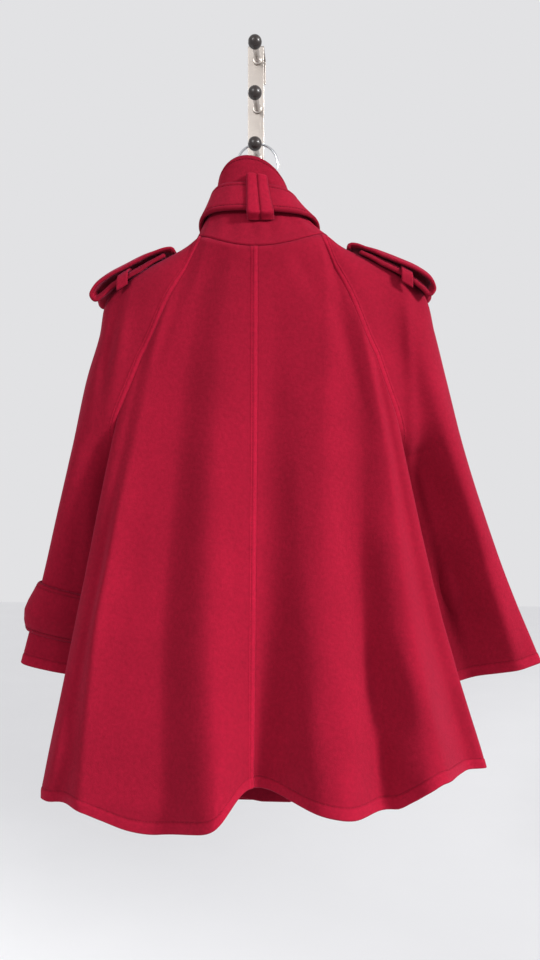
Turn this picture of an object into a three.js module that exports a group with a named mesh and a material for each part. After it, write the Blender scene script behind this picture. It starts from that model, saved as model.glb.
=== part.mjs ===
// A wool cape coat that hangs by its shoulders on a hanger, whose hook goes over the lowest
// knob of a bent steel rack. The coat's back faces -Y and its fronts face the rack's strap.
// The origin is on the middle of the underside of the rack's bridge. +X is the right of
// someone who looks at the coat's back, +Y goes from the coat to the rack and +Z is up.
// depth is a distance in front of the back plane, in which the back of the strap lies.
import * as THREE from 'three';

// Driving sizes, in millimetres
const BRIDGE_SPAN = 35;
const GARMENT_X = 10;
const CLOTH_WALL = 2.6;
const DOUBLE_WALL = 3.6;
const STRAP_WALL = 5;
const SEAM_GAP = 0.3;
const TOUCH_GAP = 0.4;
const LAP_WIDTH = 8;
const LAP_RAISE = 0.9;
const LAP_STEP = 1.5;
const HEM_WIDTH = 12;
const HEM_CLEAR = 1.4;
const BODY_LOWER_LENGTH = 390;
const SLEEVE_LOWER_LENGTH = 290;
const FRONT_OVERLAP = 40;
const LAYER_SHIFT = 2.5;
const UNDERARM_Z = -566;

// Colours and finishes
const CLOTH = { color: 0xa3132c, roughness: 0.95, metalness: 0 };
const HORN = { color: 0x3a1518, roughness: 0.4, metalness: 0 };
const NICKEL = { color: 0xbdb6ac, roughness: 0.4, metalness: 1 };
const CHROME = { color: 0xb9bcc0, roughness: 0.2, metalness: 1 };
const BEECH = { color: 0xc49a6c, roughness: 0.5, metalness: 0 };
const WALNUT = { color: 0x2b1d18, roughness: 0.35, metalness: 0 };

// Lines down the back, each a fold's crest or valley, from the left edge to the right one.
// across is the distance from the centre back and depth the distance from the back plane,
// both at the heights in FOLD_LEVELS. hem is the height of the hem on the line.
const FOLD_LEVELS = [-330, -540, -750, -960];
const BACK_FOLDS = [
  { line: 'left edge', across: [-122, -166, -200, -238], depth: [80, 98, 112, 130], hem: -964 },
  { line: 'left ridge', across: [-104, -147, -184, -196], depth: [87, 106, 132, 168], hem: -974 },
  { line: 'left valley', across: [-76, -100, -112, -104], depth: [91, 103, 128, 176], hem: -993 },
  { line: 'left crest', across: [-34, -50, -54, -38], depth: [98, 117, 152, 206], hem: -972 },
  { line: 'centre valley', across: [32, 16, 10, 8], depth: [96, 104, 126, 152], hem: -939 },
  { line: 'right crest', across: [84, 78, 78, 94], depth: [92, 114, 152, 208], hem: -957 },
  { line: 'right valley', across: [102, 125, 131, 156], depth: [87, 99, 124, 168], hem: -956 },
  { line: 'right ridge', across: [112, 152, 176, 220], depth: [84, 104, 122, 136], hem: -946 },
  { line: 'right edge', across: [122, 164, 205, 265], depth: [80, 95, 98, 80], hem: -939 },
];

// Where the body turns from the back to the side, and its side seams, at the same heights
const SIDE_LINES = {
  left: { sign: -1, reach: [134, 182, 218, 254], seam: [118, 170, 176, 200], seamDepth: [60, 62, 66, 70] },
  right: { sign: 1, reach: [134, 175, 219, 279], seam: [118, 165, 180, 212], seamDepth: [56, 58, 50, 44] },
};

// Waves of the plain fronts: across is a share of the front's half width, relief a depth at
// the hem, and FRONT_DEPTH the front's distance from the back plane at the fold levels.
const FRONT_DEPTH = [30, 25, 24, 24];
const FRONT_FLAT = 0.82;
const FRONT_WAVES = [
  { across: 0, relief: 0 },
  { across: 0.42, relief: 0 },
  { across: 0.72, relief: -8 },
  { across: 1, relief: 0 },
];

// The raglan seams: how far round the body they lie at each height. 1 is where the body
// turns to the side and 2 is the side seam, which they reach at the underarm.
const RAGLAN_LINES = [
  { z: -285, back: 0.74, front: 1.0 },
  { z: -361, back: 0.88, front: 1.04 },
  { z: -425, back: 0.97, front: 1.12 },
  { z: -470, back: 1.1, front: 1.24 },
  { z: -505, back: 1.3, front: 1.42 },
  { z: -535, back: 1.58, front: 1.66 },
  { z: -553, back: 1.8, front: 1.84 },
  { z: -566, back: 2, front: 2 },
];

// Heights of the middle and the edge of the body's rows at the neck, the underarm and the hem
const ROW_HEIGHTS = {
  back: {
    middle: [-304, -562, -951],
    edge: { left: [-285, UNDERARM_Z, -970], right: [-285, UNDERARM_Z, -938] },
  },
  front: {
    middle: [-345, -585, -1006],
    edge: { left: [-310, UNDERARM_Z, -970], right: [-310, UNDERARM_Z, -938] },
  },
};

// The sleeves: out, z and depth run along the shoulder and the outer edge. crownBack and
// crownFront are the depths of the two walls halfway between that edge and the seams. along
// is 0 at the neck, 1 at the underarm and 2 at the hem.
const SLEEVE_EDGES = {
  left: [
    { along: 0, out: 84, z: -285, depth: 62, crownBack: 74, crownFront: 47 },
    { along: 0.15, out: 104, z: -296, depth: 54, crownBack: 77, crownFront: 39 },
    { along: 0.3, out: 163, z: -325, depth: 48, crownBack: 80, crownFront: 35 },
    { along: 0.45, out: 200, z: -355, depth: 46, crownBack: 84, crownFront: 33 },
    { along: 0.6, out: 210, z: -404, depth: 45, crownBack: 90, crownFront: 32 },
    { along: 0.8, out: 226, z: -462, depth: 45, crownBack: 94, crownFront: 31 },
    { along: 1, out: 242, z: -540, depth: 45, crownBack: 92, crownFront: 29 },
    { along: 1.33, out: 263, z: -630, depth: 45, crownBack: 87, crownFront: 25 },
    { along: 1.66, out: 285, z: -722, depth: 45, crownBack: 77, crownFront: 22 },
    { along: 2, out: 312, z: -826, depth: 45, crownBack: 70, crownFront: 18 },
  ],
  right: [
    { along: 0, out: 84, z: -285, depth: 60, crownBack: 73, crownFront: 46 },
    { along: 0.15, out: 108, z: -297, depth: 50, crownBack: 76, crownFront: 38 },
    { along: 0.3, out: 165, z: -320, depth: 45, crownBack: 78, crownFront: 34 },
    { along: 0.45, out: 208, z: -353, depth: 42, crownBack: 82, crownFront: 32 },
    { along: 0.6, out: 222, z: -402, depth: 40, crownBack: 87, crownFront: 30 },
    { along: 0.8, out: 237, z: -466, depth: 40, crownBack: 91, crownFront: 28 },
    { along: 1, out: 255, z: -542, depth: 40, crownBack: 90, crownFront: 26 },
    { along: 1.33, out: 281, z: -628, depth: 40, crownBack: 79, crownFront: 23 },
    { along: 1.66, out: 313, z: -720, depth: 40, crownBack: 68, crownFront: 20 },
    { along: 2, out: 353, z: -819, depth: 40, crownBack: 60, crownFront: 17 },
  ],
};

// The sleeves' underarm seams, from the underarm down to the hem
const UNDERARM_SEAMS = {
  left: [
    { along: 1, out: 170, z: UNDERARM_Z, depth: 62 },
    { along: 1.1, out: 177, z: -592, depth: 53 },
    { along: 1.33, out: 180, z: -655, depth: 46 },
    { along: 1.66, out: 186, z: -750, depth: 37 },
    { along: 2, out: 192, z: -852, depth: 33 },
  ],
  right: [
    { along: 1, out: 165, z: UNDERARM_Z, depth: 58 },
    { along: 1.1, out: 174, z: -592, depth: 49 },
    { along: 1.33, out: 182, z: -655, depth: 41 },
    { along: 1.66, out: 195, z: -750, depth: 31 },
    { along: 2, out: 210, z: -858, depth: 27 },
  ],
};

// Rows and columns of the cloth grids
const UPPER_ROWS = 11;
const LOWER_ROWS = 10;
const BACK_COLUMNS = 19;
const FRONT_COLUMNS = 10;
const SLEEVE_COLUMNS = 19;
const TURN_COLUMNS = 4;
const TURN_FROM = 0.8;
const UNDERARM_CROWDING = 1.35;
const WALL_ROUNDING = 0.85;
const CROWN_ROUNDING = 0.8;
const DENSE_STEPS = 72;
const LAP_LAST_ROW = 7;
const NECK_BLEND = [1, 0.55, 0.22, 0.06];

// The neck ring and the top edge of the collar, as functions of the angle from centre back
const NECK_RING = { across: 84, sway: 3, depth: 62, depthSwing: 36, z: -305.25, tilt: 20.5, saddle: -19.25 };
const COLLAR_TOP = { shift: -10, across: 46, depth: 42, depthSwing: 20, z: -216, tilt: 40, lean: -9 };
const BACK_RAGLAN_ANGLE = 62.4;
const FRONT_RAGLAN_ANGLE = 125;
const COLLAR_STEP = 9;
const COLLAR_WRAP = 207;
const COLLAR_ROWS = 7;
const COLLAR_LIFT = 0.8;
const COLLAR_HOLLOW = 0.55;
const KEEPER_GAP = 0.6;

// The throat belt: its middle's height on the collar, from centre back round to the front
const BELT_WIDTH = 42;
const BELT_ROWS = 3;
const BELT_LINE = [
  { angle: 0, height: 0.53, flare: 4 },
  { angle: 50, height: 0.51, flare: 7 },
  { angle: 95, height: 0.47, flare: 5 },
  { angle: 150, height: 0.45, flare: 2 },
  { angle: 207, height: 0.45, flare: 2 },
];
const BELT_UNDER_GAP = 0.6;
const BELT_FLARE = 1.3;

// The two upright keepers that hold the belt at the centre back
const KEEPERS = [
  { name: 'keeper_left', angle: -1.5 },
  { name: 'keeper_right', angle: 12 },
];
const KEEPER_WIDTH = 15;
const COLLAR_BACK_RADIUS = 68;
const KEEPER_WALL = 2.6;
const KEEPER_HEIGHTS = [0.27, 0.3, 0.36, 0.42, 0.48, 0.56, 0.64, 0.7, 0.755, 0.785];

// The epaulettes: the middle line of each folded strap, from its start by the neck, out
// along the shoulder, round the end and back on top
const EPAULETTE_WIDTH = 42;
const EPAULETTE_DEPTH = 50;
const EPAULETTE_DROP = 9;
const EPAULETTE_FLAT_TO = 112;
const EPAULETTES = {
  left: [
    { out: 116, z: -299.2 }, { out: 141, z: -309.5 }, { out: 166, z: -322 }, { out: 188, z: -335 },
    { out: 202, z: -347 }, { out: 210.5, z: -352 }, { out: 215.5, z: -346 }, { out: 211, z: -336 },
    { out: 196, z: -323.5 }, { out: 171, z: -309 }, { out: 150, z: -297 }, { out: 133, z: -292 },
    { out: 117, z: -291.8 },
  ],
  right: [
    { out: 122, z: -299.6 }, { out: 145, z: -308 }, { out: 176, z: -323.5 }, { out: 193, z: -335 },
    { out: 204, z: -344 }, { out: 212.5, z: -351.5 }, { out: 218, z: -345 }, { out: 214, z: -334 },
    { out: 199, z: -321.5 }, { out: 175, z: -309 }, { out: 146, z: -295 }, { out: 133, z: -290.5 },
    { out: 122, z: -292.5 },
  ],
};
const EPAULETTE_STEPS = 28;

// The carriers: small loops over the lower layer of each epaulette
const CARRIER_WIDTH = 15;
const CARRIER_WALL = 2.2;
const CARRIER_SLOPE = [10, -6];
const CARRIERS = { left: { out: 174, z: -326.6 }, right: { out: 184, z: -328.8 } };
const CARRIER_ARCH = [
  { off: -24, rise: -28 }, { off: -24.4, rise: -15 }, { off: -23, rise: -5 }, { off: -12, rise: 2.6 },
  { off: 0, rise: 4.6 }, { off: 12, rise: 2.6 }, { off: 23, rise: -5 }, { off: 25.6, rise: -11 },
  { off: 26.2, rise: -20 },
];

// The cuff strap, which stands away from the left sleeve between its two edges
const CUFF_STRAP_FROM = 1.66;
const CUFF_STRAP_TO = 1.865;
const CUFF_STRAP_WALL = 4;
const CUFF_STRAP_PUFF = [0, 3, 6.5, 8.5, 6, 0.6];
const CUFF_STRAP_CALM = 0.35;
const CUFF_STRAP_TURN = 78;
const CUFF_STRAP_COLUMNS = 22;

// Closure
const BUTTON_RADIUS = 13;
const BUTTON_THICKNESS = 4;
const BUTTON_RIM = 1;
const BUTTON_DISH = 0.62;
const ROUND_SEGMENTS = 14;
const BELT_BUTTON_HEIGHT = 0.45;
const BELT_BUTTON_GAP = 2.1;
const BUTTON_HEIGHTS = [-420, -530, -640, -750];

// Hanger: ARM_NECK is the middle line of the arms where they pass under the neck, and
// ARM_ALONG the places along the sleeves under which they go on to the shoulders
const HOOK_WIRE = 1.6;
const HOOK_RADIUS = 27;
const HOOK_X = 4;
const HOOK_DEPTH = 30;
const HOOK_SHANK = [{ depth: 46, z: -257.85 }, { depth: 43, z: -242 }, { depth: 33, z: -210 }];
const HOOK_ANGLES = [-50, -20, 10, 40, 65, 90, 115, 140, 170, 200, 225];
const HOOK_STEPS = 44;
const ARM_HALF_HEIGHT = 4.5;
const ARM_HALF_DEPTH = 6;
const ARM_NECK = [
  { across: -80, depth: 62, z: -305 },
  { across: -44, depth: 52, z: -280 },
  { across: -6, depth: 46, z: -262 },
  { across: 32, depth: 52, z: -280 },
  { across: 79, depth: 62, z: -305 },
];
const ARM_ALONG = [0.17, 0.24, 0.31, 0.37];
const ARM_UNDER = { inward: 0.45, down: 0.9 };
const ARM_CLEARANCE = 2.8;
const ARM_SET_BACK = 6;
const ARM_STEPS = 40;

// Rack
const STRIP_WIDTH = 22;
const STRIP_THICKNESS = 2;
const STRIP_CORNER = 1.2;
const PEG_X = 2;
const STRIP_LENGTH = 172;
const REAR_LEG = 32;
const PEG_RADIUS = 4;
const PEG_PAD_RADIUS = 6.5;
const PEG_PAD_THICKNESS = 2.5;
const PEG_PAD_RIM = 1;
const KNOB_RADIUS = 9;
const KNOB_DEPTH = 45;
const KNOB_FLAT = 0.94;
const KNOB_STEPS = 7;
const KNOB_HEIGHTS = [-19, -86, -153];

const BACK_PLANE = -BRIDGE_SPAN / 2;
const degrees = Math.PI / 180;
const mix = (a, b, share) => a + (b - a) * share;
const clamp = (value) => Math.min(1, Math.max(0, value));
const ease = (share) => share * share * (3 - 2 * share);

// A point of the garment from its distance across, its depth and its height
const place = (across, depth, z) => new THREE.Vector3(GARMENT_X + across, BACK_PLANE - depth, z);

// Reads a smooth curve through keys and values. Its slope at each key is that of the chord
// between the neighbouring keys.
function readCurve(keys, values, key) {
  const last = keys.length - 1;
  const way = Math.sign(keys[last] - keys[0]);
  if ((key - keys[0]) * way <= 0) return values[0];
  if ((keys[last] - key) * way <= 0) return values[last];
  let i = 0;
  while ((keys[i + 1] - key) * way < 0) i += 1;
  const chord = (a, b) => (values[b] - values[a]) / (keys[b] - keys[a]);
  const startTurn = chord(Math.max(0, i - 1), i + 1) - chord(i, i + 1);
  const endTurn = chord(i, Math.min(last, i + 2)) - chord(i, i + 1);
  const span = keys[i + 1] - keys[i];
  const t = (key - keys[i]) / span;
  return mix(values[i], values[i + 1], t) + t * (1 - t) * span * ((1 - t) * startTurn - t * endTurn);
}

const readRows = (rows, keyName, column, key) =>
  readCurve(rows.map((row) => row[keyName]), rows.map((row) => row[column]), key);

const readLevels = (values, z) => readCurve(FOLD_LEVELS, values, z);

// The body's outer surface

function foldDepth(across, z) {
  const lines = BACK_FOLDS.map((fold) => readLevels(fold.across, z));
  let i = 0;
  while (i < lines.length - 2 && lines[i + 1] < across) i += 1;
  const share = ease(clamp((across - lines[i]) / (lines[i + 1] - lines[i])));
  return mix(readLevels(BACK_FOLDS[i].depth, z), readLevels(BACK_FOLDS[i + 1].depth, z), share);
}

// The height of the hem: on the fold lines round the back, then level round to the side seam
function hemHeight(sideName, round) {
  const { sign } = SIDE_LINES[sideName];
  const edge = sign < 0 ? BACK_FOLDS[0] : BACK_FOLDS[BACK_FOLDS.length - 1];
  if (round > 1) return mix(edge.hem, ROW_HEIGHTS.back.edge[sideName][2], round - 1);
  const across = readLevels(edge.across, FOLD_LEVELS[3]) * round;
  let i = 0;
  while (i < BACK_FOLDS.length - 2 && BACK_FOLDS[i + 1].across[3] < across) i += 1;
  const from = BACK_FOLDS[i];
  const to = BACK_FOLDS[i + 1];
  return mix(from.hem, to.hem, ease(clamp((across - from.across[3]) / (to.across[3] - from.across[3]))));
}

function sideLine(sideName, z) {
  const side = SIDE_LINES[sideName];
  const edge = side.sign < 0 ? BACK_FOLDS[0] : BACK_FOLDS[BACK_FOLDS.length - 1];
  const edgeAcross = Math.abs(readLevels(edge.across, z));
  const edgeDepth = readLevels(edge.depth, z);
  const reach = readLevels(side.reach, z);
  const seamAcross = readLevels(side.seam, z);
  const seamDepth = readLevels(side.seamDepth, z);
  const pull = reach + (reach - edgeAcross + reach - seamAcross) / 2;
  const frontDepth = readLevels(FRONT_DEPTH, z);
  const share = Math.min(1, (seamDepth - frontDepth) / (edgeDepth - seamDepth));
  const turn = seamAcross - (pull - seamAcross) * share;
  return { sign: side.sign, edgeAcross, edgeDepth, pull, seamAcross, seamDepth, turn, frontDepth };
}

const bend3 = (a, b, c, t) => (1 - t) * (1 - t) * a + 2 * t * (1 - t) * b + t * t * c;

// round runs from 0 at centre back to 1 at the edge of the back and 2 at the side seam
function backPoint(sideName, round, z) {
  const side = sideLine(sideName, z);
  if (round <= 1) {
    const across = side.sign * side.edgeAcross * round;
    return place(across, foldDepth(across, z), z);
  }
  const t = round - 1;
  const across = bend3(side.edgeAcross, side.pull, side.seamAcross, t);
  return place(side.sign * across, bend3(side.edgeDepth, side.edgeDepth, side.seamDepth, t), z);
}

// round runs from 0 at centre front to 1 where the front turns and 2 at the side seam. The
// overlapping layers part round the centre front.
function frontPoint(sideName, round, z) {
  const side = sideLine(sideName, z);
  const edgeAcross = side.turn * FRONT_FLAT;
  const growth = clamp((FOLD_LEVELS[0] - z) / (FOLD_LEVELS[0] - FOLD_LEVELS[3]));
  if (round <= 1) {
    const share = Math.abs(round);
    let i = 0;
    while (i < FRONT_WAVES.length - 2 && FRONT_WAVES[i + 1].across < share) i += 1;
    const a = FRONT_WAVES[i];
    const b = FRONT_WAVES[i + 1];
    const relief = mix(a.relief, b.relief, ease((share - a.across) / (b.across - a.across)));
    const across = side.sign * edgeAcross * round;
    const parting = layerShift(side.sign, Math.abs(across));
    return place(across, side.frontDepth + relief * growth - parting, z);
  }
  const t = round - 1;
  const across = bend3(edgeAcross, side.turn, side.seamAcross, t);
  return place(side.sign * across, bend3(side.frontDepth, side.frontDepth, side.seamDepth, t), z);
}

// The right front lies nearer to the back plane than the left one where the two overlap
const layerShift = (sign, distance) =>
  sign * LAYER_SHIFT * (1 - ease(clamp((distance - FRONT_OVERLAP) / FRONT_OVERLAP)));

// Neck ring, angle in degrees from centre back, positive to the right
function neckPoint(angle, shift = 0) {
  const turn = angle * degrees;
  const depth = NECK_RING.depth + NECK_RING.depthSwing * Math.cos(turn) - shift;
  const z = NECK_RING.z + NECK_RING.tilt * Math.cos(turn) + NECK_RING.saddle * Math.cos(2 * turn);
  const across = NECK_RING.across * Math.sin(turn) + NECK_RING.sway * Math.sin(turn) ** 2;
  return place(across, depth, z);
}

// Grids: rows of points, each row spread along its own length

function lengthsAlong(points) {
  const lengths = [0];
  for (let i = 1; i < points.length; i += 1) {
    lengths.push(lengths[i - 1] + points[i].distanceTo(points[i - 1]));
  }
  return lengths;
}

function pointAt(points, lengths, length) {
  let i = 0;
  while (i < points.length - 2 && lengths[i + 1] < length) i += 1;
  const share = (length - lengths[i]) / (lengths[i + 1] - lengths[i]);
  return points[i].clone().lerp(points[i + 1], share);
}

// Distances along a row: a lap's two lines at each marked end, and even steps between
function spread(total, count, lapStart, lapEnd) {
  const lap = Math.min(LAP_WIDTH, total / 4);
  const head = lapStart ? [0, lap, lap + LAP_STEP] : [0];
  const tail = lapEnd ? [total - lap - LAP_STEP, total - lap, total] : [total];
  const between = count - head.length - tail.length;
  const from = head[head.length - 1];
  const to = tail[0];
  const middle = Array.from({ length: between }, (_, i) => mix(from, to, (i + 1) / (between + 1)));
  return [...head, ...middle, ...tail];
}

function spreadRow(points, count, lapStart, lapEnd) {
  const lengths = lengthsAlong(points);
  const total = lengths[lengths.length - 1];
  return spread(total, count, lapStart, lapEnd).map((length) => pointAt(points, lengths, length));
}

// Samples a curve between two values of its parameter
const sample = (from, to, pointOf) =>
  Array.from({ length: DENSE_STEPS + 1 }, (_, k) => pointOf(mix(from, to, k / DENSE_STEPS)));

// A row in two parts, so that columns keep their places where a garment turns to its side
function spreadParts([from, middle, to], pointOf, columns, lapStart) {
  const flat = spreadRow(sample(from, middle, pointOf), columns - TURN_COLUMNS, lapStart, false);
  const turn = spreadRow(sample(middle, to, pointOf), TURN_COLUMNS + 1, false, false);
  return [...flat, ...turn.slice(1)];
}

// Row parameters: 0 at the neck, 1 at the underarm, 2 at the hem, with the hem's stitch line
const upperAlong = Array.from({ length: UPPER_ROWS }, (_, i) =>
  1 - (1 - i / UPPER_ROWS) ** UNDERARM_CROWDING);
function alongRows(lowerLength) {
  const hem = HEM_WIDTH / lowerLength;
  const hemTop = (HEM_WIDTH + LAP_STEP) / lowerLength;
  const count = LOWER_ROWS - 2;
  const lower = Array.from({ length: count }, (_, i) => 1 + (i / count) * (1 - HEM_CLEAR * hem));
  return [...upperAlong, ...lower, 2 - hemTop, 2 - hem, 2];
}
const BODY_ALONG = alongRows(BODY_LOWER_LENGTH);
const SLEEVE_ALONG = alongRows(SLEEVE_LOWER_LENGTH);
const UNDERARM_ROW = UPPER_ROWS;
const ROW_COUNT = BODY_ALONG.length;

const rowHeight = (heights, along) =>
  along <= 1 ? mix(heights[0], heights[1], along) : mix(heights[1], heights[2], along - 1);

function bodyGrid(sideName, face) {
  const isBack = face === 'back';
  const point = isBack ? backPoint : frontPoint;
  const heights = ROW_HEIGHTS[face];
  const sign = SIDE_LINES[sideName].sign;
  const columns = isBack ? BACK_COLUMNS : FRONT_COLUMNS;
  const turnShares = [];
  const grid = BODY_ALONG.map((along) => {
    const middleZ = rowHeight(heights.middle, along);
    const edgeZ = rowHeight(heights.edge[sideName], along);
    const roundEnd = along >= 1 ? 2 : readRows(RAGLAN_LINES, 'z', face, edgeZ);
    const line = sideLine(sideName, middleZ);
    const roundStart = isBack ? 0 : -FRONT_OVERLAP / (line.turn * FRONT_FLAT);
    const hemZ = (share) => mix(heights.middle[2], heights.edge[sideName][2], clamp(share));
    const turnStart = Math.min(1, roundEnd * TURN_FROM);
    const pointOf = (round) => {
      const level = mix(middleZ, edgeZ, clamp(round / roundEnd));
      const hemMove = isBack && along > 1 ? hemHeight(sideName, round) - hemZ(round / roundEnd) : 0;
      return point(sideName, round, level + hemMove * (along - 1));
    };
    turnShares.push((turnStart - roundStart) / (roundEnd - roundStart));
    return spreadParts([roundStart, turnStart, roundEnd], pointOf, columns, isBack);
  });
  const startAngle = isBack ? 0 : 180 + Math.asin(FRONT_OVERLAP / NECK_RING.across) / degrees;
  const endAngle = isBack ? BACK_RAGLAN_ANGLE : FRONT_RAGLAN_ANGLE;
  const turnAngle = mix(startAngle, endAngle, turnShares[0]);
  const ringPoint = (angle) => {
    const across = Math.abs(NECK_RING.across * Math.sin(angle * degrees));
    return neckPoint(sign * angle, isBack ? 0 : layerShift(sign, across));
  };
  blendNeck(grid, spreadParts([startAngle, turnAngle, endAngle], ringPoint, columns, isBack));
  return grid;
}

// Moves a grid's first row onto the neck ring and lets the change fade down its rows
function blendNeck(grid, neckRow) {
  const moves = neckRow.map((target, c) => target.clone().sub(grid[0][c]));
  NECK_BLEND.forEach((share, r) => {
    grid[r].forEach((point, c) => point.addScaledVector(moves[c], share));
  });
}

// A sleeve's row runs from the back seam over the shoulder or outer edge to the front seam.
// Each wall goes from the edge's depth to the seam's, and passes through its crown halfway.
function sleevePoint(sideName, along, seam, angle, isBack) {
  const edges = SLEEVE_EDGES[sideName];
  const sign = SIDE_LINES[sideName].sign;
  const read = (column) => readRows(edges, 'along', column, along);
  const edge = place(sign * read('out'), read('depth'), read('z'));
  const turn = angle * degrees;
  const reach = 1 - Math.cos(turn);
  const seamDepth = BACK_PLANE - seam.y;
  const plainDepth = mix(read('depth'), seamDepth, Math.SQRT1_2 ** WALL_ROUNDING);
  const full = read(isBack ? 'crownBack' : 'crownFront') - plainDepth;
  const depth = mix(read('depth'), seamDepth, Math.sin(turn) ** WALL_ROUNDING)
    + full * Math.sin(2 * turn) ** CROWN_ROUNDING;
  return new THREE.Vector3(mix(edge.x, seam.x, reach), BACK_PLANE - depth, mix(edge.z, seam.z, reach));
}

function sleeveSeams(sideName, along, row, grids) {
  if (along <= 1) {
    const last = (grid) => grid[row][grid[row].length - 1];
    return [last(grids[`back_${sideName}`]), last(grids[`front_${sideName}`])];
  }
  const rows = UNDERARM_SEAMS[sideName];
  const read = (column) => readRows(rows, 'along', column, along);
  const seam = place(SIDE_LINES[sideName].sign * read('out'), read('depth'), read('z'));
  return [seam, seam];
}

function sleeveCurve(sideName, along, backSeam, frontSeam) {
  return sample(90, -90, (angle) => {
    const seam = angle >= 0 ? backSeam : frontSeam;
    return sleevePoint(sideName, along, seam, Math.abs(angle), angle >= 0);
  });
}

function sleeveGrid(sideName, grids) {
  const sign = SIDE_LINES[sideName].sign;
  const grid = SLEEVE_ALONG.map((along, row) => {
    const [backSeam, frontSeam] = sleeveSeams(sideName, along, row, grids);
    return spreadRow(sleeveCurve(sideName, along, backSeam, frontSeam), SLEEVE_COLUMNS, true, true);
  });
  const neck = sample(BACK_RAGLAN_ANGLE, FRONT_RAGLAN_ANGLE, (angle) => neckPoint(sign * angle));
  const neckRow = spreadRow(neck, SLEEVE_COLUMNS, true, true);
  const moves = neckRow.map((target, c) => target.clone().sub(grid[0][c]));
  NECK_BLEND.forEach((share, r) => {
    grid[r].forEach((point, c) => {
      if (c > 0 && c < SLEEVE_COLUMNS - 1) point.addScaledVector(moves[c], share);
    });
  });
  return grid;
}

// Normals and walls

function gridNormals(grid, outward) {
  const rows = grid.length;
  const columns = grid[0].length;
  return grid.map((row, r) => row.map((_, c) => {
    const down = grid[Math.min(rows - 1, r + 1)][c].clone().sub(grid[Math.max(0, r - 1)][c]);
    const along = row[Math.min(columns - 1, c + 1)].clone().sub(row[Math.max(0, c - 1)]);
    return along.cross(down).multiplyScalar(outward).normalize();
  }));
}

// Points along a seam share one normal, so that the walls on its two sides don't cross
function shareNormals(...borders) {
  borders[0].forEach((_, i) => {
    const sum = new THREE.Vector3();
    borders.forEach((border) => sum.add(border[i]));
    sum.normalize();
    borders.forEach((border) => border[i].copy(sum));
  });
}

// Draws a grid's borders in by half the seam gap
function openSeams(grid) {
  const rows = grid.length;
  const columns = grid[0].length;
  const pull = (point, neighbour) => point.add(
    neighbour.clone().sub(point).setLength(SEAM_GAP / 2));
  const copy = grid.map((row) => row.map((point) => point.clone()));
  for (let r = 0; r < rows; r += 1) {
    pull(copy[r][0], grid[r][1]);
    pull(copy[r][columns - 1], grid[r][columns - 2]);
  }
  for (let c = 0; c < columns; c += 1) {
    pull(copy[0][c], grid[1][c]);
  }
  return copy;
}

// A closed wall: an outer grid, an inner grid and the strips that join their borders.
// lift moves the outer points off the surface, and wall is the thickness behind it.
function wallGeometry(grid, normals, wall, outward, lift = () => 0) {
  const rows = grid.length;
  const columns = grid[0].length;
  const positions = [];
  grid.forEach((row, r) => row.forEach((point, c) => {
    const outer = point.clone().addScaledVector(normals[r][c], lift(r, c));
    positions.push(outer.x, outer.y, outer.z);
  }));
  grid.forEach((row, r) => row.forEach((point, c) => {
    const inner = point.clone().addScaledVector(normals[r][c], -wall);
    positions.push(inner.x, inner.y, inner.z);
  }));
  const at = (layer, r, c) => layer * rows * columns + r * columns + c;
  const faces = [];
  const quad = (a, b, c, d) => faces.push([a, b, c], [a, c, d]);
  for (let r = 0; r < rows - 1; r += 1) {
    for (let c = 0; c < columns - 1; c += 1) {
      quad(at(0, r, c), at(0, r, c + 1), at(0, r + 1, c + 1), at(0, r + 1, c));
      quad(at(1, r, c), at(1, r + 1, c), at(1, r + 1, c + 1), at(1, r, c + 1));
    }
    quad(at(0, r, 0), at(0, r + 1, 0), at(1, r + 1, 0), at(1, r, 0));
    const c = columns - 1;
    quad(at(0, r, c), at(1, r, c), at(1, r + 1, c), at(0, r + 1, c));
  }
  for (let c = 0; c < columns - 1; c += 1) {
    quad(at(0, 0, c), at(1, 0, c), at(1, 0, c + 1), at(0, 0, c + 1));
    const r = rows - 1;
    quad(at(0, r, c), at(0, r, c + 1), at(1, r, c + 1), at(1, r, c));
  }
  const index = faces.flatMap(([a, b, c]) => (outward > 0 ? [a, b, c] : [a, c, b]));
  const geometry = new THREE.BufferGeometry();
  geometry.setAttribute('position', new THREE.Float32BufferAttribute(positions, 3));
  geometry.setIndex(index);
  geometry.computeVertexNormals();
  return geometry;
}

const part = new THREE.Group();

function addMesh(name, geometry, finish) {
  const mesh = new THREE.Mesh(geometry, new THREE.MeshStandardMaterial({ ...finish }));
  mesh.name = name;
  part.add(mesh);
  return mesh;
}

// The body and the sleeves

const grids = {};
const normals = {};
const OUTWARD = {
  back_left: 1, back_right: -1, front_left: -1, front_right: 1, sleeve_left: 1, sleeve_right: -1,
};
for (const sideName of ['left', 'right']) {
  for (const face of ['back', 'front']) grids[`${face}_${sideName}`] = bodyGrid(sideName, face);
  grids[`sleeve_${sideName}`] = sleeveGrid(sideName, grids);
}
for (const name of Object.keys(grids)) normals[name] = gridNormals(grids[name], OUTWARD[name]);

const columnOf = (name, column, from = 0, to = ROW_COUNT) => {
  const rows = normals[name].slice(from, to);
  return rows.map((row) => row[column < 0 ? row.length + column : column]);
};
shareNormals(columnOf('back_left', 0), columnOf('back_right', 0));
for (const sideName of ['left', 'right']) {
  const back = `back_${sideName}`;
  const front = `front_${sideName}`;
  const sleeve = `sleeve_${sideName}`;
  const under = UNDERARM_ROW;
  shareNormals(columnOf(back, -1, 0, under), columnOf(sleeve, 0, 0, under));
  shareNormals(columnOf(front, -1, 0, under), columnOf(sleeve, -1, 0, under));
  shareNormals(columnOf(back, -1, under), columnOf(front, -1, under));
  shareNormals(columnOf(sleeve, 0, under), columnOf(sleeve, -1, under));
  const atUnderarm = (name, column) => columnOf(name, column, under, under + 1);
  shareNormals(atUnderarm(back, -1), atUnderarm(front, -1), atUnderarm(sleeve, 0), atUnderarm(sleeve, -1));
}

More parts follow.
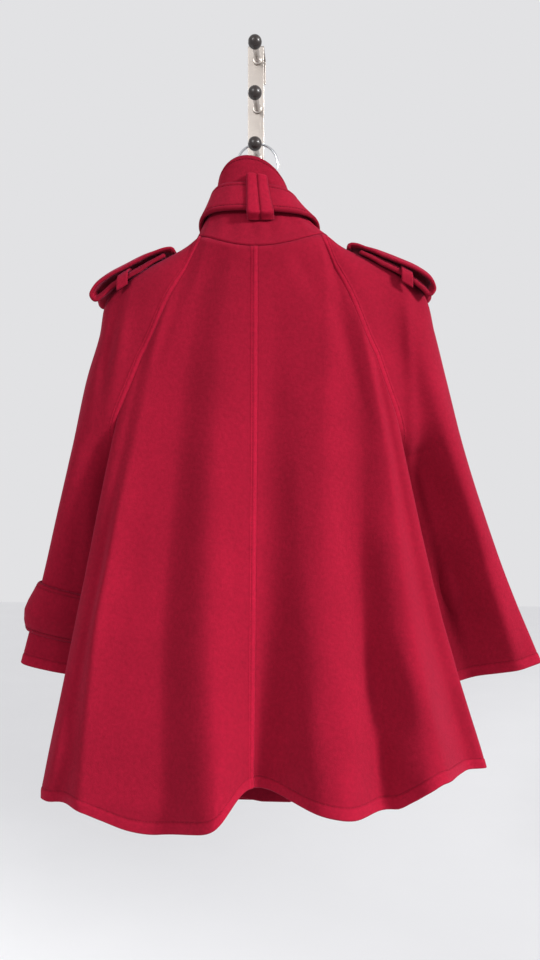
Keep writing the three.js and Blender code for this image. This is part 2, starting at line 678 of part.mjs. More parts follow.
const hemLift = (r) => (r >= ROW_COUNT - 2 ? LAP_RAISE : 0);
const lapLift = (name) => (r, c) => {
  const isSleeve = name.startsWith('sleeve');
  const onRaglan = isSleeve && r <= LAP_LAST_ROW && (c < 2 || c > SLEEVE_COLUMNS - 3);
  const onLap = onRaglan || (name === 'back_left' && c < 2);
  return Math.max(onLap ? LAP_RAISE : 0, hemLift(r));
};
for (const name of Object.keys(grids)) {
  const grid = openSeams(grids[name]);
  addMesh(name, wallGeometry(grid, normals[name], CLOTH_WALL, OUTWARD[name], lapLift(name)), CLOTH);
}

// Collar, throat belt and keepers

// The distance from centre front of a point on the neck ring, along the ring
const fromFront = (angle) => Math.abs(180 - Math.abs(angle)) * NECK_RING.across * degrees;

// height runs from 0 at the neck seam to 1 at the top edge. layer is 1 where the point
// lies on the outer layer of the overlap at the front and -1 on the inner one.
function collarSurface(angle, height, layer) {
  const turn = angle * degrees;
  const shift = layerShift(layer, fromFront(angle));
  const foot = neckPoint(angle, shift);
  const topDepth = COLLAR_TOP.depth + COLLAR_TOP.depthSwing * Math.cos(turn) - shift;
  const topZ = COLLAR_TOP.z + COLLAR_TOP.tilt * Math.cos(turn) + COLLAR_TOP.lean * Math.sin(turn);
  const top = place(COLLAR_TOP.shift + COLLAR_TOP.across * Math.sin(turn), topDepth, topZ);
  const point = foot.clone().lerp(top, height * (1 + COLLAR_HOLLOW * (1 - height)));
  return point.setZ(mix(foot.z + COLLAR_LIFT, top.z, height));
}

// A point of the collar moved out along the collar's own normal
function collarPoint(angle, height, out, layer = Math.sign(angle)) {
  const round = collarSurface(angle + 1, height, layer).sub(collarSurface(angle - 1, height, layer));
  const rise = collarSurface(angle, height + 0.02, layer).sub(collarSurface(angle, height - 0.02, layer));
  return collarSurface(angle, height, layer).addScaledVector(round.cross(rise).normalize(), out);
}

const collarAngles = Array.from({ length: (2 * COLLAR_WRAP) / COLLAR_STEP + 1 }, (_, i) =>
  -COLLAR_WRAP + i * COLLAR_STEP);
const collarGrid = Array.from({ length: COLLAR_ROWS }, (_, r) =>
  collarAngles.map((angle) => collarPoint(angle, r / (COLLAR_ROWS - 1), 0)));
const collarNormals = gridNormals(collarGrid, 1);
collarNormals[0].forEach((normal) => normal.setZ(0).normalize());
addMesh('collar', wallGeometry(collarGrid, collarNormals, DOUBLE_WALL, 1), CLOTH);

// The belt's middle follows BELT_LINE. Its lower edge stands further out than its upper one.
const collarHeightLength = (angle) => collarPoint(angle, 0, 0).distanceTo(collarPoint(angle, 1, 0));
const beltGrid = Array.from({ length: BELT_ROWS }, (_, r) => collarAngles.map((angle) => {
  const share = r / (BELT_ROWS - 1);
  const middle = readRows(BELT_LINE, 'angle', 'height', Math.abs(angle));
  const flare = readRows(BELT_LINE, 'angle', 'flare', Math.abs(angle));
  const height = middle + ((share - 0.5) * BELT_WIDTH) / collarHeightLength(angle);
  const lapped = angle > 0 ? layerShift(1, fromFront(angle)) / LAYER_SHIFT : 0;
  const over = lapped * (STRAP_WALL + TOUCH_GAP) + flare * (1 - share) ** BELT_FLARE;
  return collarPoint(angle, height, BELT_UNDER_GAP + STRAP_WALL + over, 1);
}));
addMesh('throat_belt', wallGeometry(beltGrid, gridNormals(beltGrid, 1), STRAP_WALL, 1), CLOTH);

for (const keeper of KEEPERS) {
  const middle = readRows(BELT_LINE, 'angle', 'height', Math.abs(keeper.angle));
  const halfBelt = BELT_WIDTH / 2 / collarHeightLength(keeper.angle);
  const halfAngle = Math.asin(KEEPER_WIDTH / 2 / COLLAR_BACK_RADIUS) / degrees;
  const rows = KEEPER_HEIGHTS.map((height, r) => {
    const onBelt = clamp((middle + halfBelt - height) / (2 * halfBelt));
    const isEnd = r < 1 || r > KEEPER_HEIGHTS.length - 2;
    return [-1, 0, 1].map((side) => {
      const angle = keeper.angle + side * halfAngle;
      const flare = readRows(BELT_LINE, 'angle', 'flare', Math.abs(angle));
      const over = BELT_UNDER_GAP + STRAP_WALL + flare * onBelt ** BELT_FLARE + KEEPER_GAP + KEEPER_WALL;
      return collarPoint(angle, height, isEnd ? TOUCH_GAP + KEEPER_WALL : over);
    });
  });
  addMesh(keeper.name, wallGeometry(rows, gridNormals(rows, 1), KEEPER_WALL, 1), CLOTH);
}

// Epaulettes and their carriers

for (const sideName of ['left', 'right']) {
  const sign = SIDE_LINES[sideName].sign;
  const line = new THREE.CatmullRomCurve3(
    EPAULETTES[sideName].map((row) => new THREE.Vector3(row.out, 0, row.z)), false, 'centripetal');
  const offsets = [-1, -0.5, 0, 0.5, 1];
  const grid = line.getSpacedPoints(EPAULETTE_STEPS).map((point) => offsets.map((share) => {
    const depth = EPAULETTE_DEPTH + (share * EPAULETTE_WIDTH) / 2;
    const drop = EPAULETTE_DROP * clamp((point.x - EPAULETTE_FLAT_TO) / EPAULETTE_WIDTH);
    return place(sign * point.x, depth, point.z - drop * share * share);
  }));
  const turned = gridNormals(grid, sign);
  grid.forEach((row, r) => row.forEach((point, c) => point.addScaledVector(turned[r][c], STRAP_WALL / 2)));
  addMesh(`epaulette_${sideName}`, wallGeometry(grid, turned, STRAP_WALL, sign), CLOTH);

  const foot = CARRIERS[sideName];
  const slope = new THREE.Vector2(...CARRIER_SLOPE).normalize();
  const arch = CARRIER_ARCH.map((row) => [-0.5, 0.5].map((share) => place(
    sign * (foot.out + share * CARRIER_WIDTH * slope.x),
    EPAULETTE_DEPTH + row.off,
    foot.z + row.rise + share * CARRIER_WIDTH * slope.y)));
  addMesh(`carrier_${sideName}`, wallGeometry(arch, gridNormals(arch, sign), CARRIER_WALL, sign), CLOTH);
}

// Cuff strap: the left sleeve's own points, moved out

function cuffStrapGrid() {
  return CUFF_STRAP_PUFF.map((puff, r) => {
    const along = mix(CUFF_STRAP_FROM, CUFF_STRAP_TO, r / (CUFF_STRAP_PUFF.length - 1));
    const [seam] = sleeveSeams('left', along, 0, grids);
    return Array.from({ length: CUFF_STRAP_COLUMNS }, (_, c) => {
      const angle = mix(CUFF_STRAP_TURN, -CUFF_STRAP_TURN, c / (CUFF_STRAP_COLUMNS - 1));
      const point = sleevePoint('left', along, seam, Math.abs(angle), angle >= 0);
      const round = Math.cos(angle * degrees);
      return { point, out: TOUCH_GAP + CUFF_STRAP_WALL + puff * mix(CUFF_STRAP_CALM, 1, round) };
    });
  });
}
const cuffRows = cuffStrapGrid();
const cuffBase = cuffRows.map((row) => row.map((cell) => cell.point));
const cuffNormals = gridNormals(cuffBase, 1);
const cuffGrid = cuffRows.map((row, r) => row.map((cell, c) =>
  cell.point.clone().addScaledVector(cuffNormals[r][c], cell.out)));
addMesh('cuff_strap_left', wallGeometry(cuffGrid, gridNormals(cuffGrid, 1), CUFF_STRAP_WALL, 1), CLOTH);

// Buttons of the hidden closure

function buttonGeometry() {
  const dish = BUTTON_RADIUS * BUTTON_DISH;
  const top = BUTTON_THICKNESS;
  const profile = [
    [0, 0], [BUTTON_RADIUS - BUTTON_RIM, 0], [BUTTON_RADIUS, BUTTON_RIM], [BUTTON_RADIUS, top - BUTTON_RIM],
    [BUTTON_RADIUS - BUTTON_RIM, top], [dish + BUTTON_RIM, top], [dish, top - BUTTON_RIM],
    [0, top - BUTTON_RIM],
  ];
  return new THREE.LatheGeometry(profile.map(([x, y]) => new THREE.Vector2(x, y)), ROUND_SEGMENTS);
}
BUTTON_HEIGHTS.forEach((z, i) => {
  const seat = frontPoint('right', 0, z);
  const button = addMesh(`button_${i + 1}`, buttonGeometry(), HORN);
  button.position.set(seat.x, seat.y + 2 * TOUCH_GAP, z);
});
const beltSeat = collarPoint(180, BELT_BUTTON_HEIGHT, 2 * STRAP_WALL + BELT_BUTTON_GAP, 1);
addMesh('belt_button', buttonGeometry(), HORN).position.copy(beltSeat);

// Hanger

function ellipseShape(halfWidth, halfHeight, segments) {
  const points = Array.from({ length: segments }, (_, i) => {
    const turn = (i / segments) * 2 * Math.PI;
    return new THREE.Vector2(halfWidth * Math.cos(turn), halfHeight * Math.sin(turn));
  });
  return new THREE.Shape(points);
}

function sweep(points, shape, steps) {
  const path = new THREE.CatmullRomCurve3(points, false, 'centripetal');
  return new THREE.ExtrudeGeometry(shape, { steps, extrudePath: path, bevelEnabled: false });
}

function armLine(sideName) {
  const sign = SIDE_LINES[sideName].sign;
  const drop = CLOTH_WALL + ARM_CLEARANCE + ARM_HALF_HEIGHT;
  return ARM_ALONG.map((along) => {
    const read = (column) => readRows(SLEEVE_EDGES[sideName], 'along', column, along);
    const across = read('out') - drop * ARM_UNDER.inward;
    return place(sign * across, read('depth') + ARM_SET_BACK, read('z') - drop * ARM_UNDER.down);
  });
}
const armNeck = ARM_NECK.map((row) => place(row.across, row.depth, row.z));
const armPath = [...armLine('left').reverse(), ...armNeck, ...armLine('right')];
addMesh('hanger_arms', sweep(armPath, ellipseShape(ARM_HALF_DEPTH, ARM_HALF_HEIGHT, 8), ARM_STEPS), BEECH);

const hookCentreZ = KNOB_HEIGHTS[2] + PEG_RADIUS + TOUCH_GAP + HOOK_WIRE - HOOK_RADIUS;
const hookPoint = (angle) => new THREE.Vector3(
  HOOK_X + HOOK_RADIUS * Math.cos(angle * degrees),
  BACK_PLANE - HOOK_DEPTH,
  hookCentreZ + HOOK_RADIUS * Math.sin(angle * degrees));
const shank = HOOK_SHANK.map((row) => new THREE.Vector3(HOOK_X, BACK_PLANE - row.depth, row.z));
const hookPath = [...shank, ...HOOK_ANGLES.map(hookPoint)];
addMesh('hanger_hook', sweep(hookPath, ellipseShape(HOOK_WIRE, HOOK_WIRE, 6), HOOK_STEPS), CHROME);

// Rack: one bent strap with three pegs and knobs

const half = BRIDGE_SPAN / 2;
const outer = half + STRIP_THICKNESS;
const strapProfile = new THREE.Shape([
  [-outer, -STRIP_LENGTH], [-half, -STRIP_LENGTH], [-half, 0], [half, 0],
  [half, -REAR_LEG], [outer, -REAR_LEG], [outer, STRIP_THICKNESS - STRIP_CORNER],
  [outer - STRIP_CORNER, STRIP_THICKNESS], [STRIP_CORNER - outer, STRIP_THICKNESS],
  [-outer, STRIP_THICKNESS - STRIP_CORNER],
].map(([y, z]) => new THREE.Vector2(y, z)));
const strapGeometry = new THREE.ExtrudeGeometry(strapProfile, { depth: STRIP_WIDTH, bevelEnabled: false });
strapGeometry.rotateY(Math.PI / 2);
strapGeometry.rotateX(Math.PI / 2);
strapGeometry.translate(-STRIP_WIDTH / 2, 0, 0);
addMesh('rack_strap', strapGeometry, NICKEL);

const seatDepth = STRIP_THICKNESS + SEAM_GAP;
const padFront = seatDepth + PEG_PAD_THICKNESS;
const knobBack = KNOB_DEPTH - KNOB_RADIUS * KNOB_FLAT;
const pegProfile = [
  [0, seatDepth], [PEG_PAD_RADIUS, seatDepth], [PEG_PAD_RADIUS, padFront - PEG_PAD_RIM],
  [PEG_PAD_RADIUS - PEG_PAD_RIM, padFront], [PEG_RADIUS, padFront], [PEG_RADIUS, knobBack - SEAM_GAP],
  [0, knobBack - SEAM_GAP],
].map(([radius, depth]) => new THREE.Vector2(radius, depth));
const knobProfile = [new THREE.Vector2(0, knobBack)];
for (let k = 0; k < KNOB_STEPS; k += 1) {
  const turn = mix(Math.PI - Math.acos(KNOB_FLAT), 0, k / KNOB_STEPS);
  const radius = KNOB_RADIUS * Math.sin(turn);
  knobProfile.push(new THREE.Vector2(radius, KNOB_DEPTH + KNOB_RADIUS * Math.cos(turn)));
}
knobProfile.push(new THREE.Vector2(0, KNOB_DEPTH + KNOB_RADIUS));

KNOB_HEIGHTS.forEach((z, i) => {
  const peg = addMesh(`peg_${i + 1}`, new THREE.LatheGeometry(pegProfile, ROUND_SEGMENTS), NICKEL);
  const knob = addMesh(`knob_${i + 1}`, new THREE.LatheGeometry(knobProfile, ROUND_SEGMENTS), WALNUT);
  for (const mesh of [peg, knob]) {
    mesh.rotation.x = Math.PI;
    mesh.position.set(PEG_X, BACK_PLANE, z);
  }
});

export default part;
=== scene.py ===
import math

import bpy
import numpy as np
from bpy.props import FloatProperty, FloatVectorProperty, IntProperty, PointerProperty
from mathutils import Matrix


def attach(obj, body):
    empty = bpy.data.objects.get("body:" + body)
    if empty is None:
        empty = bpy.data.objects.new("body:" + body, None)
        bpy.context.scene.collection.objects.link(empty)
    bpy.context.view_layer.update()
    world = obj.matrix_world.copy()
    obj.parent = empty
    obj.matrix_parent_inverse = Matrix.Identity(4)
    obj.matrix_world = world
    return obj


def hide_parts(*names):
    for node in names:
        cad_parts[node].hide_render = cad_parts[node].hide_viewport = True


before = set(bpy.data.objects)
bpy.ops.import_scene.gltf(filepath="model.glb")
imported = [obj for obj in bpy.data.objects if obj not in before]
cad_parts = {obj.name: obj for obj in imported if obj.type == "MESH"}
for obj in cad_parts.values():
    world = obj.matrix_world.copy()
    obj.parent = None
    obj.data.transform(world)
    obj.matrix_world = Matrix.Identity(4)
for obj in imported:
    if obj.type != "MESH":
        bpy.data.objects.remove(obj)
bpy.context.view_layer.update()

bl_info = {
    "name": "Cape coat on a hanger",
    "version": (1, 0, 0),
    "blender": (4, 5, 0),
    "location": "3D View > Sidebar > Cape Coat",
    "description": "Builds a flared wool cape coat, its hanger and the hook rack that holds it",
    "category": "Object",
}

MM = 0.001

# Lengths below are in millimetres until a mesh is made. across is the distance from the
# centre back, depth the distance in front of the rack's back plane and z the height.
GARMENT_X = 10.0
BACK_PLANE = -17.5
LAYER_SHIFT = 2.5
FRONT_OVERLAP = 40.0
UNDERARM_Z = -566.0

# Fold lines down the back: their places and depths at the heights in FOLD_LEVELS
FOLD_LEVELS = [-330, -540, -750, -960]
BACK_FOLDS = [
    {"line": "left edge", "across": [-122, -166, -200, -238], "depth": [80, 98, 112, 130]},
    {"line": "left ridge", "across": [-104, -147, -184, -196], "depth": [87, 106, 132, 168]},
    {"line": "left valley", "across": [-76, -100, -112, -104], "depth": [91, 103, 128, 176]},
    {"line": "left crest", "across": [-34, -50, -54, -38], "depth": [98, 117, 152, 206]},
    {"line": "centre valley", "across": [32, 16, 10, 8], "depth": [96, 104, 126, 152]},
    {"line": "right crest", "across": [84, 78, 78, 94], "depth": [92, 114, 152, 208]},
    {"line": "right valley", "across": [102, 125, 131, 156], "depth": [87, 99, 124, 168]},
    {"line": "right ridge", "across": [112, 152, 176, 220], "depth": [84, 104, 122, 136]},
    {"line": "right edge", "across": [122, 164, 205, 265], "depth": [80, 95, 98, 80]},
]
# The coat's lower edge, from the left edge of the back to the right one
HEM_LINE = {
    "across": [-238, -205, -175, -140, -104, -65, -38, -12, 8, 45, 96, 138, 160, 180, 200,
               220, 236, 251, 265],
    "height": [-968, -967, -976, -986, -988, -979, -969, -944, -943, -950, -957, -962, -960, -948, -935,
               -928, -932, -938, -940],
}
SIDE_LINES = {
    "left": {"sign": -1, "reach": [134, 182, 218, 254], "seam": [118, 170, 176, 200],
             "seam_depth": [60, 62, 66, 70]},
    "right": {"sign": 1, "reach": [134, 175, 219, 279], "seam": [118, 165, 180, 212],
              "seam_depth": [56, 58, 50, 44]},
}
FRONT_DEPTH = [30, 25, 24, 24]
FRONT_FLAT = 0.82
FRONT_CALM = 20.0
FRONT_WAVES = {"across": [0, 0.42, 0.72, 1], "relief": [0, 0, -8, 0]}

# How far round the body the raglan seams lie: 1 is the back's or front's edge, 2 the side seam
RAGLAN_LINES = {
    "z": [-285, -361, -425, -470, -505, -535, -553, -566],
    "back": [0.74, 0.88, 0.97, 1.1, 1.3, 1.58, 1.8, 2],
    "front": [1.0, 1.04, 1.12, 1.24, 1.42, 1.66, 1.84, 2],
}
ROW_HEIGHTS = {
    "back": {"middle": [-304, -562, -951], "left": [-285, UNDERARM_Z, -970],
             "right": [-285, UNDERARM_Z, -938]},
    "front": {"middle": [-345, -585, -1006], "left": [-310, UNDERARM_Z, -970],
              "right": [-310, UNDERARM_Z, -938]},
}

# The sleeves' shoulder and outer edge from the neck (0) past the underarm (1) to the hem (2),
# and the depths of the two walls halfway between that edge and the seams
SLEEVE_EDGES = {
    "left": {
        "along": [0, 0.15, 0.3, 0.45, 0.6, 0.8, 1, 1.33, 1.66, 2],
        "out": [84, 104, 163, 200, 210, 226, 242, 263, 285, 312],
        "z": [-285, -296, -325, -355, -404, -462, -540, -630, -722, -826],
        "depth": [62, 54, 48, 46, 45, 45, 45, 45, 45, 45],
        "crown_back": [74, 77, 80, 84, 90, 94, 92, 87, 77, 70],
        "crown_front": [47, 39, 35, 33, 32, 31, 29, 25, 22, 18],
    },
    "right": {
        "along": [0, 0.15, 0.3, 0.45, 0.6, 0.8, 1, 1.33, 1.66, 2],
        "out": [84, 108, 165, 208, 222, 237, 255, 281, 313, 353],
        "z": [-285, -297, -320, -353, -402, -466, -542, -628, -720, -819],
        "depth": [60, 50, 45, 42, 40, 40, 40, 40, 40, 40],
        "crown_back": [73, 76, 78, 82, 87, 91, 90, 79, 68, 60],
        "crown_front": [46, 38, 34, 32, 30, 28, 26, 23, 20, 17],
    },
}
UNDERARM_SEAMS = {
    "left": {"along": [1, 1.1, 1.33, 1.66, 2], "out": [170, 177, 180, 186, 192],
             "z": [UNDERARM_Z, -592, -655, -750, -852], "depth": [62, 53, 46, 37, 33]},
    "right": {"along": [1, 1.1, 1.33, 1.66, 2], "out": [165, 174, 182, 195, 210],
              "z": [UNDERARM_Z, -592, -655, -750, -858], "depth": [58, 49, 41, 31, 27]},
}
# How much flatter the sleeves' cloth hangs at the back than the solids' crowns, and where
# along the sleeve that starts
SLEEVE_SLACK = {"flatter": 12.0, "from": 0.2, "over": 0.3}
# How much the sleeves' fronts are creased against their backs, and their waves' spacing
# against the body's
SLEEVE_RELIEF = {"front": -0.6, "across": 1.2, "z": 1.1}
WALL_ROUNDING = 0.85
CROWN_ROUNDING = 0.8
BODY_LOWER_LENGTH = 390.0
SLEEVE_LOWER_LENGTH = 290.0
UNDERARM_CROWDING = 1.35
NECK_BLEND = {"along": [0, 0.12, 0.24, 0.35, 0.46], "share": [1, 0.55, 0.22, 0.06, 0]}

# Soft creases: where each one lies, how long and wide it is, how far it leans over its
# length and how much it stands out (or sinks in, below 0)
BACK_CREASES = [
    {"across": -128, "z": -420, "half": 70, "width": 9, "lean": -0.32, "rise": 1.6},
    {"across": -113, "z": -400, "half": 60, "width": 8, "lean": -0.3, "rise": -1.5},
    {"across": 124, "z": -400, "half": 60, "width": 8, "lean": 0.3, "rise": 1.5},
    {"across": 109, "z": -430, "half": 75, "width": 9, "lean": 0.28, "rise": -1.7},
    {"across": -56, "z": -330, "half": 45, "width": 14, "lean": -0.5, "rise": -1.2},
    {"across": 60, "z": -335, "half": 50, "width": 13, "lean": 0.5, "rise": -1.2},
    {"across": -8, "z": -700, "half": 130, "width": 16, "lean": 0.02, "rise": 1.3},
    {"across": -30, "z": -640, "half": 100, "width": 12, "lean": 0.05, "rise": -1.0},
    {"across": 46, "z": -620, "half": 120, "width": 15, "lean": 0.03, "rise": 1.2},
    {"across": 108, "z": -690, "half": 110, "width": 13, "lean": 0.12, "rise": -1.6},
    {"across": -150, "z": -700, "half": 130, "width": 16, "lean": -0.12, "rise": -1.8},
    {"across": -88, "z": -820, "half": 90, "width": 18, "lean": 0.04, "rise": 1.8},
    {"across": 146, "z": -960, "half": 230, "width": 22, "lean": 0.09, "rise": -16.0},
    {"across": 210, "z": -960, "half": 230, "width": 28, "lean": 0.19, "rise": 38.0},
    {"across": 92, "z": -930, "half": 240, "width": 20, "lean": 0.05, "rise": -7.0},
    {"across": -238, "z": -960, "half": 330, "width": 17, "lean": -0.18, "rise": 15.0},
    {"across": 20, "z": -470, "half": 80, "width": 15, "lean": -0.08, "rise": -1.1},
]
FRONT_CREASES = [
    {"across": -96, "z": -430, "half": 80, "width": 12, "lean": -0.25, "rise": -1.6},
    {"across": 98, "z": -440, "half": 80, "width": 12, "lean": 0.25, "rise": -1.6},
    {"across": -70, "z": -740, "half": 150, "width": 18, "lean": -0.08, "rise": 2.0},
    {"across": 84, "z": -800, "half": 140, "width": 18, "lean": 0.1, "rise": 2.2},
    {"across": -118, "z": -860, "half": 100, "width": 14, "lean": -0.1, "rise": -2.0},
    {"across": 128, "z": -700, "half": 120, "width": 15, "lean": 0.08, "rise": -1.8},
    {"across": 14, "z": -900, "half": 90, "width": 20, "lean": 0.0, "rise": 1.2},
]
SLEEVE_CREASES = {
    "left": [
        {"across": -176, "z": -440, "half": 90, "width": 9, "lean": -0.12, "rise": 2.6},
        {"across": -190, "z": -430, "half": 90, "width": 8, "lean": -0.14, "rise": -2.8},
        {"across": -214, "z": -600, "half": 90, "width": 11, "lean": -0.14, "rise": 1.8},
        {"across": -236, "z": -700, "half": 80, "width": 10, "lean": -0.18, "rise": -1.6},
        {"across": -255, "z": -790, "half": 60, "width": 12, "lean": -0.2, "rise": 1.4},
    ],
    "right": [
        {"across": 187, "z": -480, "half": 115, "width": 7, "lean": 0.03, "rise": 3.0},
        {"across": 235, "z": -690, "half": 260, "width": 27, "lean": 0.25, "rise": -19.0},
        {"across": 281, "z": -690, "half": 240, "width": 16, "lean": 0.31, "rise": 8.0},
        {"across": 262, "z": -650, "half": 90, "width": 9, "lean": 0.2, "rise": -1.4},
        {"across": 300, "z": -770, "half": 70, "width": 12, "lean": 0.34, "rise": 1.4},
    ],
}

# The cloth's slight unevenness: sines that cross each other, with two pi times the values
# across and z as their wavelengths
SLOW_WAVES = [
    {"rise": 0.22, "across": 17.0, "z": 71.0, "start": 0.0},
    {"rise": 0.16, "across": 29.0, "z": -37.0, "start": 1.3},
    {"rise": 0.12, "across": 53.0, "z": 19.0, "start": 0.4},
]
CREASE_WOBBLE = {"share": 0.25, "z": 23.0, "step": 1.9}

# Neck ring, collar, throat belt and keepers, by the angle from centre back
NECK_RING = {"across": 84, "sway": 3, "depth": 62, "swing": 36, "z": -305.25, "tilt": 20.5, "saddle": -19.25}
COLLAR_TOP = {"shift": -10, "across": 46, "depth": 42, "swing": 20, "z": -216, "tilt": 40, "lean": -9}
BACK_RAGLAN_ANGLE = 62.4
FRONT_RAGLAN_ANGLE = 125.0
COLLAR_WRAP = 207.0
COLLAR_LIFT = 0.8
COLLAR_HOLLOW = 0.55
BELT_LINE = {
    "angle": [0, 50, 95, 150, 207],
    "height": [0.53, 0.51, 0.47, 0.45, 0.45],
    "flare": [4, 3.5, 2.5, 2, 2],
}
BELT_WIDTH = 42.0
BELT_UNDER_GAP = 0.6
BELT_FLARE = 1.3
KEEPERS = {"keeper_left": -1.5, "keeper_right": 12.0}
KEEPER_WIDTH = 15.0
KEEPER_WALL = 2.6
KEEPER_GAP = 0.6
COLLAR_BACK_RADIUS = 68.0
KEEPER_HEIGHTS = [0.27, 0.3, 0.36, 0.42, 0.48, 0.56, 0.64, 0.7, 0.755, 0.785]
KEEPER_RAMP = 0.03
RUFFLE = {"rise": 0.5, "height": 0.2, "spread": 0.14, "waves": 17, "drift": 0.7, "drift_waves": 5}

# Epaulettes and their carriers: middle lines in the plane of the shoulders
EPAULETTES = {
    "left": {
        "out": [122, 142, 166, 188, 202, 210.5, 215.5, 211, 196, 171, 150, 134, 120, 111.5, 109.5],
        "z": [-302.5, -310, -322, -335, -347, -352, -346, -336, -324, -311, -301, -297, -295.5, -297, -300],
    },
    "right": {
        "out": [127, 146, 176, 193, 204, 212.5, 218, 214, 199, 175, 147, 133, 121, 113.5, 112],
        "z": [-302, -308.5, -323.5, -335, -344, -351.5, -345, -334, -322, -310.5, -299.5, -296.5, -294.5,
              -296, -299],
    },
}
EPAULETTE_WIDTH = 42.0
EPAULETTE_DEPTH = 50.0
EPAULETTE_DROP = 9.0
EPAULETTE_FLAT_TO = 112.0
CARRIERS = {"left": {"out": 174, "z": -326.6}, "right": {"out": 184, "z": -328.8}}
CARRIER_ARCH = {
    "off": [-24, -24.4, -23, -12, 0, 12, 23, 25.6, 26.2],
    "rise": [-28, -15, -5, 2.6, 4.6, 2.6, -5, -11, -20],
}
CARRIER_SLOPE = [10, -6]
CARRIER_WIDTH = 15.0
CARRIER_WALL = 2.2
CUFF_STRAP = {"from": 1.66, "to": 1.865, "turn": 78.0, "wall": 4.0, "calm": 0.35,
              "puff": [0, 3, 6.5, 8.5, 6, 0.6]}
# How much the belt's and the epaulettes' middles stand out, and how much the keepers' and
# carriers' middles do over edges that are sunk a little
PADDING = {"belt": 0.35, "belt_waves": 11, "epaulette": 0.5}
LOOP_ROUNDING = {"keeper": {"rise": 1.3, "sink": 0.3}, "carrier": {"rise": 0.9, "sink": 0.2}}

# How many columns, or rows and columns, the pieces' grids have, or where they lie as shares,
# closer together towards a sewn edge, and at how many places a row is read before its columns
# are spread over its length
PANEL_COLUMNS = {"back": 104, "front": 72, "sleeve": 112}
COLLAR_COLUMNS = 300
COLLAR_ROWS = np.concatenate([np.linspace(0, 0.86, 30), np.linspace(0.88, 1, 12)])
BELT_COLUMNS = 330
BELT_ROWS = np.concatenate([[0, 0.02, 0.06], np.linspace(0.09, 0.91, 26), [0.94, 0.98, 1]])
KEEPER_GRID = (54, 15)
EPAULETTE_ROWS = 150
EPAULETTE_COLUMNS = np.concatenate([[-1, -0.985, -0.95], np.linspace(-0.92, 0.92, 25), [0.95, 0.985, 1]])
CARRIER_GRID = (70, 13)
CUFF_GRID = (30, 110)
BODY_SAMPLES = 260
RING_SAMPLES = 200
SLEEVE_SAMPLES = 321

# How far a wall's rim stands out at its first row, last column, last row and first column,
# as a share of its thickness
RIMS = {
    "panel": (0, 0, 0.42, 0),
    "collar": (0.1, 0.3, 0.42, 0.3),
    "belt": (0.32, 0.3, 0.32, 0.3),
    "loop": (0.3, 0.4, 0.3, 0.4),
    "epaulette": (0.3, 0.34, 0.3, 0.34),
    "cuff_strap": (0.35, 0.2, 0.35, 0.2),
}

# Relief beside a sewn edge: raised flat up to a distance, a groove under the stitch line and
# a dip at the edge itself
SEWN_EDGES = {
    "lap": {"raised": 0.9, "to": 7.3, "fade": 1.6, "groove": 0.75, "width": 0.9, "dip": 0.8,
            "dip_width": 1.1},
    "hem": {"raised": 0.55, "to": 12.4, "fade": 2.2, "groove": 0.95, "width": 1.1, "dip": 0,
            "dip_width": 1},
    "strap": {"raised": 0, "to": 0, "fade": 1, "groove": 0.85, "width": 1, "dip": 0.9,
              "dip_width": 1.3},
}
# How far a stitch line lies over the cloth (or in it, below 0)
STITCH_LIFT = {"lap": 0.12, "hem": -0.45, "collar": -0.3, "strap": -0.35}
# The sleeves' laps fade out towards the underarm, and their stitch lines end in it
LAP_FADE = {"from": 0.8, "over": 0.14, "stitched_to": 0.93}

# Hard pieces
BUTTON_HEIGHTS = [-420, -530, -640, -750]
BELT_BUTTON_HEIGHT = 0.45
BELT_BUTTON_GAP = 2.1
TOUCH_GAP = 0.4
BUTTON = {"thick": 4.0, "dish": 1.1, "dish_to": 0.58, "dish_over": 0.14, "edge": 1.2, "edge_from": 0.88,
          "hole_ring": 0.22, "hole_depth": 1.5, "hole_area": 0.9, "back": 0.93, "sides": 64}
BUTTON_RINGS = [0.06, 0.12, 0.18, 0.24, 0.3, 0.36, 0.45, 0.56, 0.64, 0.7, 0.8, 0.9, 0.96, 1]
HOOK_RING = {"x": 4, "z": -174, "depth": 30, "radius": 27}
HOOK_SHANK = {"depth": [46, 43, 33], "z": [-257.85, -242, -210]}
HOOK_ANGLES = [-50, -20, 10, 40, 65, 90, 115, 140, 170, 200, 225]
ARM_NECK = {
    "across": [-80, -44, -6, 32, 79],
    "depth": [62, 52, 46, 52, 62],
    "z": [-305, -280, -262, -280, -305],
}
ARM_ALONG = [0.17, 0.24, 0.31, 0.37]
ARM_UNDER = {"inward": 0.45, "down": 0.9, "clearance": 2.8, "set_back": 6}
ARM_SECTION = {"half_height": 4.5, "half_depth": 6.0, "end_turns": 24, "end_least": 0.08}
ARM_POINTS = 180
HOOK_POINTS = 220
BRIDGE_SPAN = 35.0
STRIP_LENGTH = 172.0
REAR_LEG = 32.0
STRIP = {"half_width": 11.0, "half_wall": 1.0, "corner": 0.6, "bend": 2.0, "end": 0.6, "end_share": 0.97}
PEG_X = 2.0
PEG = {
    "radius": [0, 6.3, 6.5, 6.5, 6.2, 5.4, 4.4, 4, 4, 4, 3.8, 0],
    "depth": [2.3, 2.3, 2.5, 3.9, 4.4, 4.75, 4.8, 5.1, 20, 36.1, 36.24, 36.24],
}
KNOB_HEIGHTS = [-19, -86, -153]
KNOB_DEPTH = 45.0
KNOB_SEAT = 0.94

